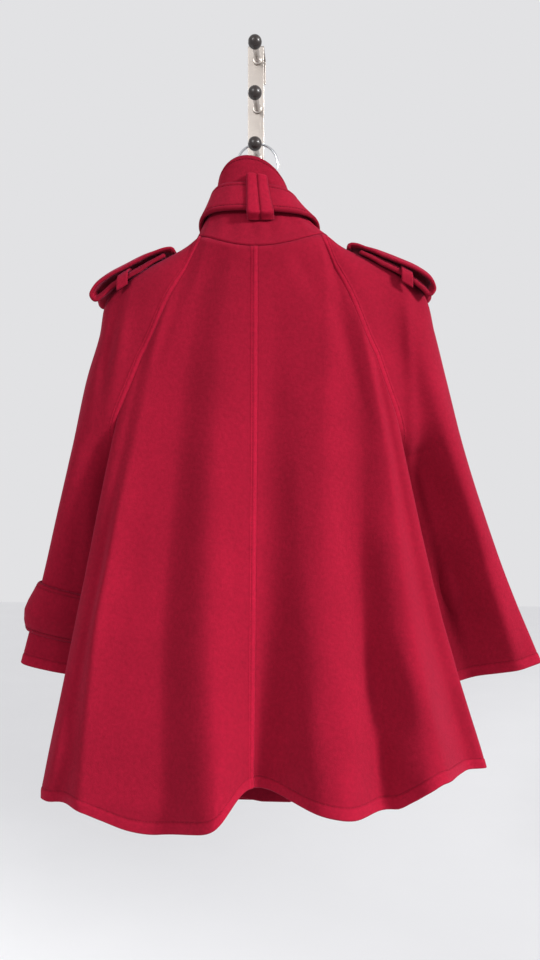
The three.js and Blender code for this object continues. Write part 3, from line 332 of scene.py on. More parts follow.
# The stage, in metres and degrees
FLOOR = {"half": 9.0, "z": -2.0}
LIGHTS = [
    {"name": "key_light", "place": (6.0, -3.0, 1.6), "size": 2.0, "energy": 19.5},
    {"name": "fill_light", "place": (-2.4, -4.7, 1.0), "size": 2.6, "energy": 7.5},
    {"name": "rim_light", "place": (-3.0, 2.6, 1.4), "size": 1.5, "energy": 0.6},
]
LIGHT_AIM = (0.0, -0.15, -0.84)
LIGHT_SPREAD = 15.0
CAMERA = {"place": (0.0803, -1.05685, -0.6124), "tilt": 91.274, "turn": 3.371, "lens": 29.06, "sensor": 36.0}

DEGREES = math.pi / 180
WOOL_NODES = ("back_left", "back_right", "front_left", "front_right", "sleeve_left", "sleeve_right")


def linear(hex_colour):
    """Turns an sRGB hex value to linear red, green and blue, channel by channel."""
    channels = [(hex_colour >> shift & 255) / 255 for shift in (16, 8, 0)]
    return tuple(c / 12.92 if c <= 0.04045 else ((c + 0.055) / 1.055) ** 2.4 for c in channels)


class CapeCoatSizes(bpy.types.PropertyGroup):
    """Sizes that a maker would change."""
    cloth: FloatProperty(name="Cloth", description="Thickness of the wool melton", default=0.0026,
                         unit="LENGTH", subtype="DISTANCE")
    collar: FloatProperty(name="Collar", description="Thickness of the doubled collar", default=0.0036,
                          unit="LENGTH", subtype="DISTANCE")
    strap: FloatProperty(name="Straps", description="Thickness of the belt and the epaulettes", default=0.005,
                         unit="LENGTH", subtype="DISTANCE")
    topstitch: FloatProperty(name="Topstitch", description="Distance of a strap's stitch line from its edge",
                             default=0.005, unit="LENGTH", subtype="DISTANCE")
    stitch: FloatProperty(name="Stitch", description="Spacing of the stitches", default=0.004,
                          unit="LENGTH", subtype="DISTANCE")
    button: FloatProperty(name="Button", description="Radius of a button", default=0.013,
                          unit="LENGTH", subtype="DISTANCE")
    knob: FloatProperty(name="Knob", description="Radius of a rack knob", default=0.009,
                        unit="LENGTH", subtype="DISTANCE")
    wire: FloatProperty(name="Hook wire", description="Radius of the hanger's wire", default=0.0016,
                        unit="LENGTH", subtype="DISTANCE")
    holes: IntProperty(name="Button holes", description="Sewing holes in a button", default=4)


class CapeCoatColours(bpy.types.PropertyGroup):
    """Colours of the materials."""
    wool: FloatVectorProperty(name="Wool", description="Dyed wool", subtype="COLOR", default=linear(0x860E26))
    thread: FloatVectorProperty(name="Thread", description="Sewing thread", subtype="COLOR",
                                default=linear(0x6E0C20))
    button: FloatVectorProperty(name="Button", description="Moulded buttons", subtype="COLOR",
                                default=linear(0x3A1518))
    beech: FloatVectorProperty(name="Beech", description="Hanger wood", subtype="COLOR",
                               default=linear(0xC49A6C))
    nickel: FloatVectorProperty(name="Nickel", description="Plated strap and pegs", subtype="COLOR",
                                default=linear(0xB9B1AA))
    chrome: FloatVectorProperty(name="Wire", description="Plated hook wire", subtype="COLOR",
                                default=linear(0xC9CBCE))
    knob: FloatVectorProperty(name="Knob", description="Stained knobs", subtype="COLOR",
                              default=linear(0x1E1512))
    stage: FloatVectorProperty(name="Stage", description="Floor and background", subtype="COLOR",
                               default=linear(0xE2E2E4))


def size(name):
    """A size of the panel in millimetres."""
    return getattr(bpy.context.scene.cape_coat_sizes, name) / MM


def colours():
    """The colours of the panel."""
    return bpy.context.scene.cape_coat_colours


# Curves and rows

def ease(share):
    """A smooth step: 3 s squared minus 2 s cubed."""
    share = np.clip(share, 0, 1)
    return share * share * (3 - 2 * share)


def place(across, depth, z):
    """A point of the garment: x is GARMENT_X plus across, y is BACK_PLANE minus depth."""
    across, depth, z = np.broadcast_arrays(across, depth, z)
    return np.stack([GARMENT_X + across, BACK_PLANE - depth, z], -1).astype(float)


def unit(vectors):
    """Vectors divided by their lengths."""
    return vectors / np.maximum(np.linalg.norm(vectors, axis=-1, keepdims=True), 1e-9)


def read_curve(keys, values, at):
    """A cubic through keys and values. Its slope at a key is that of the chord between the
    neighbouring keys, and it stays level outside the first and last key."""
    keys, values = np.asarray(keys, float), np.asarray(values, float)
    if keys[0] > keys[-1]:
        keys, values = keys[::-1], values[::-1]
    at = np.clip(at, keys[0], keys[-1])
    chord = np.diff(values) / np.diff(keys)
    slope = np.concatenate([chord[:1], (values[2:] - values[:-2]) / (keys[2:] - keys[:-2]), chord[-1:]])
    i = np.clip(np.searchsorted(keys, at, side="right") - 1, 0, len(keys) - 2)
    span = keys[i + 1] - keys[i]
    t = (at - keys[i]) / span
    bend = (1 - t) * (slope[i] - chord[i]) - t * (slope[i + 1] - chord[i])
    return values[i] * (1 - t) + values[i + 1] * t + t * (1 - t) * span * bend


def smooth_line(points, count, steps=24):
    """A centripetal Catmull-Rom line through the points: between two of them it is the
    Barry-Goldman pyramid of linear mixes over knots spaced by the root of the distance, taken
    in steps. It is read at count places spaced evenly along its length."""
    points = np.asarray(points, float)
    points = np.concatenate([[2 * points[0] - points[1]], points, [2 * points[-1] - points[-2]]])
    knots = np.concatenate([[0], np.cumsum(np.linalg.norm(np.diff(points, axis=0), axis=1) ** 0.5)])
    parts = []
    for i in range(1, len(points) - 2):
        t = np.linspace(knots[i], knots[i + 1], steps, endpoint=i == len(points) - 3)[:, None]
        mixed, first = [points[k] for k in range(i - 1, i + 3)], i - 1
        for reach in (1, 2):
            mixed = [between(mixed[k], mixed[k + 1], knots[first + k], knots[first + k + reach], t)
                     for k in range(len(mixed) - 1)]
        parts.append(between(mixed[0], mixed[1], knots[i], knots[i + 1], t))
    dense = np.concatenate(parts)
    return at_lengths(dense, np.linspace(0, line_lengths(dense)[-1], count))


def between(a, b, low, high, t):
    """The linear mix that is a where t is low and b where it is high."""
    return ((high - t) * a + (t - low) * b) / (high - low)


def line_lengths(points):
    """Distance along a line of points, from its start."""
    return np.concatenate([[0], np.cumsum(np.linalg.norm(np.diff(points, axis=0), axis=1))])


def at_lengths(points, wanted):
    """Points at the wanted distances along a line, mixed between its neighbours."""
    lengths = line_lengths(points)
    return np.stack([np.interp(wanted, lengths, points[:, axis]) for axis in range(points.shape[1])], -1)


def crease_relief(creases, across, z):
    """Sum over the creases of rise times a bell over the width and a bell over the length.
    A slow sine makes each crease uneven."""
    relief = np.zeros(np.broadcast(across, z).shape)
    for number, crease in enumerate(creases):
        middle = crease["across"] + crease["lean"] * (crease["z"] - z)
        wobble = 1 + CREASE_WOBBLE["share"] * np.sin(z / CREASE_WOBBLE["z"] + number * CREASE_WOBBLE["step"])
        aside, away = (across - middle) / crease["width"], (z - crease["z"]) / crease["half"]
        relief += crease["rise"] * wobble * np.exp(-(aside ** 2) - away ** 2)
    return relief


def slow_waves(across, z):
    """The sum of the crossing sines, 0.5 mm high in all."""
    return sum(wave["rise"] * np.sin(across / wave["across"] + z / wave["z"] + wave["start"])
               for wave in SLOW_WAVES)


# The body's surface

def level(values, z):
    """A fold line's value at a height."""
    return read_curve(FOLD_LEVELS, values, z)


def read_column(rows, name, along):
    """A column of a table whose rows lie along the sleeve."""
    return read_curve(rows["along"], rows[name], along)


def fold_depth(across, z):
    """The back's depth: between two fold lines it goes from one's depth to the other's by a
    smooth step over the distance across."""
    lines, depths = (np.array([level(fold[name], z) for fold in BACK_FOLDS]) for name in ("across", "depth"))
    left = (lines[1:-1] < across).sum(0)[None]
    near, far, start, end = [np.take_along_axis(table, fold, 0)[0] for table in (lines, depths)
                             for fold in (left, left + 1)]
    share = ease((across - near) / (far - near))
    return start * (1 - share) + end * share


def hem_height(side, around):
    """The hem's height: HEM_LINE round the back, then level round to the side seam."""
    sign = SIDE_LINES[side]["sign"]
    edge = HEM_LINE["across"][0 if sign < 0 else -1]
    on_back = read_curve(HEM_LINE["across"], HEM_LINE["height"], edge * np.minimum(around, 1))
    seam = ROW_HEIGHTS["back"][side][2]
    return on_back + (seam - on_back) * np.clip(around - 1, 0, 1)


def side_line(side, z):
    """Values across and in depth that steer the turns from the back's edge and from the
    front to the side seam: pull is the back's control value and turn the front's."""
    row = SIDE_LINES[side]
    fold = BACK_FOLDS[0] if row["sign"] < 0 else BACK_FOLDS[-1]
    edge, edge_depth = np.abs(level(fold["across"], z)), level(fold["depth"], z)
    reach, seam, seam_depth = (level(row[name], z) for name in ("reach", "seam", "seam_depth"))
    pull = reach + (reach - edge + reach - seam) / 2
    front = level(FRONT_DEPTH, z)
    turn = seam - (pull - seam) * np.minimum(1, (seam_depth - front) / (edge_depth - seam_depth))
    return {"edge": edge, "edge_depth": edge_depth, "pull": pull, "seam": seam, "seam_depth": seam_depth,
            "turn": turn, "front": front}


def quadratic(a, b, c, t):
    """A quadratic Bezier curve from a to c with the control value b."""
    return (1 - t) ** 2 * a + 2 * t * (1 - t) * b + t * t * c


def back_point(side, around, z):
    """around 0 to 1 runs over the folds to the back's edge, 1 to 2 is a quadratic curve to
    the side seam."""
    sign, line = SIDE_LINES[side]["sign"], side_line(side, z)
    t, on_back = np.clip(around - 1, 0, 1), around <= 1
    across = sign * np.where(on_back, line["edge"] * around,
                             quadratic(line["edge"], line["pull"], line["seam"], t))
    depth = np.where(on_back, fold_depth(sign * line["edge"] * np.minimum(around, 1), z),
                     quadratic(line["edge_depth"], line["edge_depth"], line["seam_depth"], t))
    fade = 1 - ease(around - 1)
    return place(across, depth + fade * (crease_relief(BACK_CREASES, across, z) + slow_waves(across, z)), z)


def layer_shift(sign, distance):
    """How far the right front lies behind the left one, fading out beside their overlap."""
    return sign * LAYER_SHIFT * (1 - ease((distance - FRONT_OVERLAP) / FRONT_OVERLAP))


def front_point(side, around, z):
    """The same for a front: a nearly flat face with shallow waves that grow downwards, then
    the turn."""
    sign, line = SIDE_LINES[side]["sign"], side_line(side, z)
    edge = line["turn"] * FRONT_FLAT
    growth = np.clip((FOLD_LEVELS[0] - z) / (FOLD_LEVELS[0] - FOLD_LEVELS[3]), 0, 1)
    waves, relief = np.array(FRONT_WAVES["across"]), np.array(FRONT_WAVES["relief"], float)
    share = np.clip(np.abs(around), 0, 1)
    i = np.clip(np.searchsorted(waves, share, side="left") - 1, 0, len(waves) - 2)
    step = ease((share - waves[i]) / (waves[i + 1] - waves[i]))
    wave = (relief[i] * (1 - step) + relief[i + 1] * step) * growth
    flat_across = sign * edge * around
    flat_depth = line["front"] + wave - layer_shift(sign, np.abs(flat_across))
    t, on_front = np.clip(around - 1, 0, 1), around <= 1
    across = np.where(on_front, flat_across, sign * quadratic(edge, line["turn"], line["seam"], t))
    depth = np.where(on_front, flat_depth, quadratic(line["front"], line["front"], line["seam_depth"], t))
    apart = ease((np.abs(across) - FRONT_OVERLAP) / FRONT_CALM) * (1 - ease(around - 1))
    return place(across, depth - apart * crease_relief(FRONT_CREASES, across, z), z)


def neck_point(angle, shift=0.0):
    """The neck ring: across a sine with a slight sway, depth a cosine, height a cosine of the
    angle and one of twice the angle."""
    turn = angle * DEGREES
    depth = NECK_RING["depth"] + NECK_RING["swing"] * np.cos(turn) - shift
    z = NECK_RING["z"] + NECK_RING["tilt"] * np.cos(turn) + NECK_RING["saddle"] * np.cos(2 * turn)
    across = NECK_RING["across"] * np.sin(turn) + NECK_RING["sway"] * np.sin(turn) ** 2
    return place(across, depth, z)


# Distances from a seam or a hem at which a grid has its rows or columns, so that a lap's
# edge and its stitch line are sharp
LAP_STEPS = np.array([0, 0.8, 2, 3.6, 5, 5.7, 6.3, 6.9, 7.6, 8.3, 9.2, 10.6])
LAP_STITCH = 6
HEM_STEPS = np.array([0, 1, 2.6, 5, 7.5, 9.8, 11.3, 12, 12.7, 13.6, 14.8, 17])
HEM_STITCH = 7
UPPER_ROWS = 66
LOWER_ROWS = 78


def along_rows(lower_length):
    """Rows from the neck (0) to the underarm (1) and the hem (2): crowded towards the
    underarm, even below it, and at HEM_STEPS over the hem."""
    upper = 1 - (1 - np.arange(UPPER_ROWS) / UPPER_ROWS) ** UNDERARM_CROWDING
    hem = 2 - HEM_STEPS[::-1] / lower_length
    return np.concatenate([upper, np.linspace(1, hem[0], LOWER_ROWS, endpoint=False), hem])


BODY_ALONG = along_rows(BODY_LOWER_LENGTH)
SLEEVE_ALONG = along_rows(SLEEVE_LOWER_LENGTH)


def spread_row(points, count, start_lap, end_lap):
    """A row read at count distances: at LAP_STEPS from a lapped end and evenly between."""
    total = line_lengths(points)[-1]
    head = LAP_STEPS if start_lap else LAP_STEPS[:1]
    tail = LAP_STEPS if end_lap else LAP_STEPS[:1]
    middle = np.linspace(head[-1], total - tail[-1], count - len(head) - len(tail) + 2)[1:-1]
    return at_lengths(points, np.concatenate([head, middle, total - tail[::-1]]))


def row_height(heights, along):
    """A height between those at the neck (0), the underarm (1) and the hem (2)."""
    return np.interp(along, [0, 1, 2], heights)


def body_grid(side, face, count):
    """Rows of back_point or front_point from the centre to the raglan seam or the side seam.
    The first rows are blended onto the neck ring."""
    heights, sign, is_back = ROW_HEIGHTS[face], SIDE_LINES[side]["sign"], face == "back"
    along = BODY_ALONG[:, None]
    middle, edge = row_height(heights["middle"], along), row_height(heights[side], along)
    end = np.where(along >= 1, 2.0, read_curve(RAGLAN_LINES["z"], RAGLAN_LINES[face], edge))
    start = np.zeros_like(end) if is_back else -FRONT_OVERLAP / (side_line(side, middle)["turn"] * FRONT_FLAT)
    around = start + (end - start) * np.linspace(0, 1, BODY_SAMPLES)[None]
    of_end = np.clip(around / end, 0, 1)
    z = middle + (edge - middle) * of_end
    if is_back:
        level_hem = heights["middle"][2] + (heights[side][2] - heights["middle"][2]) * of_end
        z = z + np.clip(along - 1, 0, 1) * (hem_height(side, around) - level_hem)
    dense = (back_point if is_back else front_point)(side, around, z)
    grid = np.array([spread_row(row, count, is_back, False) for row in dense])
    first = 0.0 if is_back else 180 + math.degrees(math.asin(FRONT_OVERLAP / NECK_RING["across"]))
    angle = np.linspace(first, BACK_RAGLAN_ANGLE if is_back else FRONT_RAGLAN_ANGLE, RING_SAMPLES)
    near = np.abs(NECK_RING["across"] * np.sin(angle * DEGREES))
    ring = neck_point(sign * angle, 0.0 if is_back else layer_shift(sign, near))
    return blend_neck(grid, spread_row(ring, count, is_back, False), BODY_ALONG)


def blend_neck(grid, ring, along):
    """Adds to each row the first row's way to the neck ring, times a share that fades down."""
    share = read_curve(NECK_BLEND["along"], NECK_BLEND["share"], along)
    return grid + share[:, None, None] * (ring - grid[0])[None]


def sleeve_wall(side, along, angle, seam):
    """A sleeve's section: a quarter wave of cosine from the outer edge to the seam. Its depth
    is a power of the sine, plus a swell that brings it through the crown's depth halfway."""
    rows, sign = SLEEVE_EDGES[side], SIDE_LINES[side]["sign"]
    out, outer_z, outer_depth, crown_back, crown_front = (
        read_column(rows, name, along) for name in ("out", "z", "depth", "crown_back", "crown_front"))
    turn, at_back = np.abs(angle) * DEGREES, angle >= 0
    reach, seam_depth = 1 - np.cos(turn), BACK_PLANE - seam[..., 1]
    slack = SLEEVE_SLACK["flatter"] * ease((along - SLEEVE_SLACK["from"]) / SLEEVE_SLACK["over"])
    crown = np.where(at_back, crown_back - slack, crown_front)
    plain = outer_depth + (seam_depth - outer_depth) * 0.5 ** (WALL_ROUNDING / 2)
    swing = np.sin(turn) ** WALL_ROUNDING
    swell = np.clip(np.sin(2 * turn), 0, 1) ** CROWN_ROUNDING
    depth = outer_depth + (seam_depth - outer_depth) * swing + (crown - plain) * swell
    across = sign * out * (1 - reach) + (seam[..., 0] - GARMENT_X) * reach
    z = outer_z * (1 - reach) + seam[..., 2] * reach
    facing = np.where(at_back, 1, SLEEVE_RELIEF["front"]) * swell ** 0.5
    relief = crease_relief(SLEEVE_CREASES[side], across, z)
    relief = relief + slow_waves(across * SLEEVE_RELIEF["across"], z * SLEEVE_RELIEF["z"])
    return place(across, depth + facing * relief, z)


def underarm_seam(side, along):
    """The sleeve's seam, from the underarm to the hem."""
    out, depth, z = (read_column(UNDERARM_SEAMS[side], name, along) for name in ("out", "depth", "z"))
    return place(SIDE_LINES[side]["sign"] * out, depth, z)


def sleeve_grid(side, back, front, count):
    """Rows from the back seam over the shoulder or outer edge to the front seam. The seams are
    the body's own edges above the underarm and one line below it."""
    sign, upper = SIDE_LINES[side]["sign"], (SLEEVE_ALONG <= 1)[:, None]
    under = underarm_seam(side, SLEEVE_ALONG)
    back_seam, front_seam = (np.where(upper, panel[:, -1], under)[:, None] for panel in (back, front))
    angle = np.linspace(90, -90, SLEEVE_SAMPLES)[None]
    seam = np.where((angle >= 0)[..., None], back_seam, front_seam)
    dense = sleeve_wall(side, SLEEVE_ALONG[:, None], angle, seam)
    grid = np.array([spread_row(row, count, True, True) for row in dense])
    ring = neck_point(sign * np.linspace(BACK_RAGLAN_ANGLE, FRONT_RAGLAN_ANGLE, RING_SAMPLES))
    return blend_neck(grid, spread_row(ring, count, True, True), SLEEVE_ALONG)


def grid_normals(grid, outward):
    """The cross product of the ways along a row and down a column, at each point."""
    down, along = np.gradient(grid, axis=0), np.gradient(grid, axis=1)
    return unit(np.cross(along, down) * outward)


def share_normals(*borders):
    """Gives the borders that meet in a seam one mean normal."""
    mean = unit(sum(borders))
    for border in borders:
        border[:] = mean


def sewn_relief(kind, distance, stitch_at):
    """Relief by the distance from a sewn edge: raised, times a smooth step down at its end,
    minus a bell along the stitch line and a bell at the edge."""
    edge = SEWN_EDGES[kind]
    raised = edge["raised"] * (1 - ease((distance - edge["to"]) / edge["fade"]))
    groove = edge["groove"] * np.exp(-(((distance - stitch_at) / edge["width"]) ** 2))
    return raised - groove - edge["dip"] * np.exp(-((distance / edge["dip_width"]) ** 2))


def stitch_lines(grid, normals, distances):
    """The rows nearest to a strap's stitch lines, whose inset from the first and from the last
    row is topstitch, sunk into their grooves."""
    rows = [np.abs(distances - at).argmin() for at in (size("topstitch"), distances[-1] - size("topstitch"))]
    return [(grid[row] + normals[row] * STITCH_LIFT["strap"], normals[row]) for row in rows]


# Meshes

def quads(rows, columns, first=0, flip=False):
    """Faces of a grid of points whose rows follow each other from the index first."""
    r, c = np.meshgrid(np.arange(rows - 1), np.arange(columns - 1), indexing="ij")
    a = (first + r * columns + c).ravel()
    faces = np.stack([a, a + 1, a + columns + 1, a + columns], -1)
    return faces[:, ::-1] if flip else faces


def ring_quads(rings, sides):
    """Faces between closed rings of points that follow each other."""
    first, n = np.meshgrid(np.arange(rings - 1) * sides, np.arange(sides), indexing="ij")
    m = (n + 1) % sides
    return np.stack([first + n, first + m, first + sides + m, first + sides + n], -1).reshape(-1, 4).tolist()


def fan(first, sides, tip, turned=False):
    """Triangles from the ring of points that starts at first to the point tip."""
    n = first + np.arange(sides)
    m = np.roll(n, -1)
    return np.stack([m, n, n * 0 + tip] if turned else [n, m, n * 0 + tip], -1).tolist()


def wall(grid, normals, outward, thickness, lift, rim):
    """A cloth wall: the outer points, moved out by the lift, the inner points, moved in by the
    thickness, and an edge with one line of points in its middle, which stands out by the
    rim's shares of the thickness at the first row, last column, last row and first column."""
    rows, columns = grid.shape[:2]
    outer, inner = grid + normals * lift[..., None], grid - normals * thickness
    r = np.concatenate([np.zeros(columns - 1), np.arange(rows - 1), np.full(columns - 1, rows - 1),
                        np.arange(rows - 1, 0, -1)]).astype(int)
    c = np.concatenate([np.arange(columns - 1), np.full(rows - 1, columns - 1),
                        np.arange(columns - 1, 0, -1), np.zeros(rows - 1)]).astype(int)
    out = np.repeat(rim, [columns - 1, rows - 1, columns - 1, rows - 1])
    inside = grid[np.clip(r, 1, rows - 2), np.clip(c, 1, columns - 2)]
    middle = (outer[r, c] + inner[r, c]) / 2 + unit(grid[r, c] - inside) * (out * thickness)[:, None]
    points = np.concatenate([outer.reshape(-1, 3), inner.reshape(-1, 3), middle])
    count, border, n = rows * columns, r * columns + c, np.arange(len(r))
    turned = np.roll(n, -1)
    rim_out = np.stack([border, 2 * count + n, 2 * count + turned, border[turned]], -1)
    rim_in = np.stack([2 * count + n, count + border, count + border[turned], 2 * count + turned], -1)
    edges = np.concatenate([rim_out, rim_in])
    flip = outward < 0
    faces = np.concatenate([quads(rows, columns, 0, flip), quads(rows, columns, count, not flip),
                            edges[:, ::-1] if flip else edges])
    return points, faces.tolist()


def add_piece(name, points, faces, material, node=None, wear=None):
    """Makes a smooth mesh object at the origin from points in millimetres, lets it ride on
    the body, and hides the node that it stands for."""
    mesh = bpy.data.meshes.new(name)
    mesh.from_pydata((points * MM).tolist(), [], faces)
    mesh.validate()
    mesh.polygons.foreach_set("use_smooth", np.ones(len(mesh.polygons), bool))
    if wear is not None:
        layer = mesh.attributes.new("edge_wear", "FLOAT", "POINT")
        layer.data.foreach_set("value", wear.astype(np.float32))
    mesh.update()
    piece = bpy.data.objects.new(name, mesh)
    bpy.context.scene.collection.objects.link(piece)
    mesh.materials.append(material)
    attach(piece, "root")
    if node:
        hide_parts(node)
    return piece


def cloth_piece(node, grid, normals, outward, thickness, lift, rim):
    """A cloth wall in place of its node. Its relief shade values are the lift, so that the wool paints
    shade into the grooves and paints raised edges a little paler. It also measures its longest column, which
    nothing uses."""
    lift = np.broadcast_to(lift, grid.shape[:2])
    points, faces = wall(grid, normals, outward, thickness, lift, RIMS[rim])
    wear = np.zeros(len(points))
    wear[: lift.size] = lift.ravel()
    piece = add_piece(node + "_cloth", points, faces, wool_melton(), node, wear)
    down = max(line_lengths(column)[-1] for column in grid.swapaxes(0, 1)) * MM


# A stitch: its length as a share of the spacing, and its three rings of points, whose places
# along it are shares of that length
STITCH_SHARE = 0.74
STITCH_SIDES = 6
STITCH_RINGS = {"along": [-0.36, 0, 0.36], "radius": [0.26, 0.42, 0.26], "lift": [-0.1, 0.22, -0.1]}
STITCH_TIP_DROP = 0.3


def stitch_mesh(lines):
    """Short rounded stitches along lines of points and normals: each is three rings of points
    and two tips, swollen in the middle, laid end to end with gaps."""
    pitch, length = size("stitch"), size("stitch") * STITCH_SHARE
    centres, ways, ups = [], [], []
    for points, normals in lines:
        lengths = line_lengths(points)
        middles = np.arange(pitch / 2, lengths[-1], pitch)
        ahead = at_lengths(points, np.minimum(middles + 1, lengths[-1])) - at_lengths(points, middles - 1)
        centres.append(at_lengths(points, middles))
        ways.append(unit(ahead))
        ups.append(unit(np.stack([np.interp(middles, lengths, normals[:, axis]) for axis in range(3)], -1)))
    centre, way, up = (np.concatenate(part)[:, None] for part in (centres, ways, ups))
    side = np.cross(up, way)
    turn = np.tile(np.arange(STITCH_SIDES) / STITCH_SIDES * 2 * math.pi, 3)[None, :, None]
    along, radius, lift = (np.repeat(STITCH_RINGS[name], STITCH_SIDES)[None, :, None]
                           for name in ("along", "radius", "lift"))
    rings = centre + way * along * length + side * radius * np.cos(turn) + up * (radius * np.sin(turn) + lift)
    tips = [centre + way * length * half - up * STITCH_TIP_DROP for half in (-0.5, 0.5)]
    points = np.concatenate([rings, *tips], 1)
    first_tip, last_ring = STITCH_SIDES * 3, STITCH_SIDES * 2
    sides = np.array(ring_quads(3, STITCH_SIDES))
    caps = np.array(fan(0, STITCH_SIDES, first_tip, True) + fan(last_ring, STITCH_SIDES, first_tip + 1))
    offset = np.arange(len(points))[:, None, None] * points.shape[1]
    faces = (sides + offset).reshape(-1, 4).tolist() + (caps + offset).reshape(-1, 3).tolist()
    return points.reshape(-1, 3), faces


def add_stitching(name, lines):
    """All the stitches of the lines as one piece."""
    points, faces = stitch_mesh(lines)
    add_piece(name, points, faces, sewing_thread())


def lathe(radii, depths, centre, sides=48):
    """A body of revolution about a line along Y: a radius at each depth in front of the back
    plane, closed on the axis at both ends."""
    radii, depths = np.asarray(radii, float), np.asarray(depths, float)
    turn = np.arange(sides) / sides * 2 * math.pi
    x = centre[0] + radii[1:-1, None] * np.cos(turn)
    z = centre[1] + radii[1:-1, None] * np.sin(turn)
    y = BACK_PLANE - np.repeat(depths[1:-1, None], sides, 1)
    ends = [[centre[0], BACK_PLANE - depth, centre[1]] for depth in depths[[0, -1]]]
    points = np.concatenate([np.stack([x, y, z], -1).reshape(-1, 3), ends])
    rings, tip = len(x), len(x) * sides
    return points, ring_quads(rings, sides) + fan(0, sides, tip, True) + fan(tip - sides, sides, tip + 1)


def sweep(path, section, side_axis):
    """A section carried along a path: its first value goes along side_axis made square to
    the path, its second along the cross product of path and side. The ends are flat."""
    way = unit(np.gradient(path, axis=0))
    side = unit(side_axis - way * (way @ side_axis)[:, None])
    up = np.cross(way, side)
    points = path[:, None] + side[:, None] * section[None, :, :1] + up[:, None] * section[None, :, 1:]
    rows, columns = points.shape[:2]
    n = np.arange(columns)
    return points, ring_quads(rows, columns) + [n[::-1].tolist(), (n + (rows - 1) * columns).tolist()]


def ellipse(half_side, half_up, sides=28):
    """Points round an ellipse, for a section."""
    turn = np.arange(sides) / sides * 2 * math.pi
    return np.stack([half_side * np.cos(turn), half_up * np.sin(turn)], -1)


# Materials

# Places of the sockets of a node that mixes colours: some of its names stand for several
MIX_FIRST, MIX_SECOND, MIX_COLOUR = 6, 7, 2


def add_node(tree, kind, inputs, **settings):
    """Adds a node, sets its settings by name, and sets or links its inputs, given by name or
    place. A link is a pair of a node and the name or place of its output."""
    node = tree.nodes.new(kind)
    for name, value in settings.items():
        setattr(node, name, value)
    for socket, value in inputs.items():
        if isinstance(value, tuple) and isinstance(value[0], bpy.types.Node):
            tree.links.new(value[0].outputs[value[1]], node.inputs[socket])
        else:
            node.inputs[socket].default_value = value
    return node


def surface_material(name, sockets, paint):
    """The material of that name. A new one gets a shader with its constant sockets set, and
    paint(tree, where) gives the links to its other sockets."""
    if name in bpy.data.materials:
        return bpy.data.materials[name]
    material = bpy.data.materials.new(name)
    material.use_nodes = True
    tree = material.node_tree
    tree.nodes.clear()
    links = paint(tree, (add_node(tree, "ShaderNodeTexCoord", {}), "Object"))
    surface = add_node(tree, "ShaderNodeBsdfPrincipled", {**sockets, **links})
    add_node(tree, "ShaderNodeOutputMaterial", {"Surface": (surface, "BSDF")})
    return material


def cells(size_mm):
    """The scale of a noise with clumps of that size: at scale 1 they are one metre wide."""
    return 1 / (size_mm * MM)


def bands(spacing_mm):
    """The scale of a wave whose diagonal bands lie that far apart. Its angle is 10 times the
    scaled sum of the three coordinates, so it is two pi over 10 root 3 times the spacing."""
    return 2 * math.pi / (10 * math.sqrt(3) * spacing_mm * MM)


def rgba(colour, share=1.0):
    """A colour made darker or lighter by a share."""
    return (*[c * share for c in colour], 1.0)


def noise(tree, where, scale, **more):
    """A noise of the given scale, with its other inputs by name."""
    return add_node(tree, "ShaderNodeTexNoise", {"Vector": where, "Scale": scale, **more}), "Fac"


def stretched(tree, where, *sizes_mm):
    """Coordinates in which a noise of scale 1 has clumps of these sizes along the axes."""
    inputs = {"Vector": where, "Scale": [cells(size_mm) for size_mm in sizes_mm]}
    return add_node(tree, "ShaderNodeMapping", inputs), "Vector"


def ranged(tree, value, low, high, source=(0.0, 1.0)):
    """A value carried from the source's range to low and high."""
    inputs = {"Value": value, "From Min": source[0], "From Max": source[1], "To Min": low, "To Max": high}
    return add_node(tree, "ShaderNodeMapRange", inputs), "Result"


def mixed(tree, share, first, second, blend="MIX"):
    """Two colours mixed by the share, or multiplied."""
    inputs = {"Factor": share, MIX_FIRST: first, MIX_SECOND: second}
    return add_node(tree, "ShaderNodeMix", inputs, data_type="RGBA", blend_type=blend), MIX_COLOUR


def bump(tree, height, strength, depth_mm):
    """The normal of a relief that is that deep at full strength."""
    inputs = {"Height": height, "Strength": strength, "Distance": depth_mm * MM}
    return add_node(tree, "ShaderNodeBump", inputs), "Normal"


def wool_melton():
    """Crimson wool melton: a heavy woven cloth, fulled until its fibres felt together. The eye
    sees no weave, only a dull nap in tufts of about 4 mm with fibre ends about 0.7 mm apart,
    slight clouds in the dye some 60 mm wide and a faint bloom where it is seen at a slant.
    Raised edges are rubbed a little paler, and grooves look darker."""
    def paint(tree, where):
        wool = colours().wool
        nap = noise(tree, where, cells(4.17), Detail=4.0, Roughness=0.65)
        fibres = noise(tree, where, cells(0.714), Detail=2.0, Roughness=0.7)
        clouds = noise(tree, where, cells(62.5), Detail=3.0, Roughness=0.55)
        wear = add_node(tree, "ShaderNodeAttribute", {}, attribute_name="edge_wear"), "Fac"
        dyed = mixed(tree, clouds, rgba(wool, 0.86), rgba(wool, 1.14))
        flecked = mixed(tree, 1.0, dyed, ranged(tree, nap, 0.87, 1.13, (0.3, 0.7)), "MULTIPLY")
        rubbed = mixed(tree, 1.0, flecked, ranged(tree, wear, 0.62, 1.02, (-0.7, 0.9)), "MULTIPLY")
        height = add_node(tree, "ShaderNodeMath", {0: nap, 1: 1.6, 2: fibres}, operation="MULTIPLY_ADD")
        return {"Base Color": rubbed, "Normal": bump(tree, (height, "Value"), 0.5, 0.45)}

    return surface_material("Crimson wool melton", {
        "Roughness": 0.95, "Specular IOR Level": 0.08, "Sheen Weight": 0.1, "Sheen Roughness": 0.4,
        "Sheen Tint": rgba((1.0, 0.25, 0.5))}, paint)


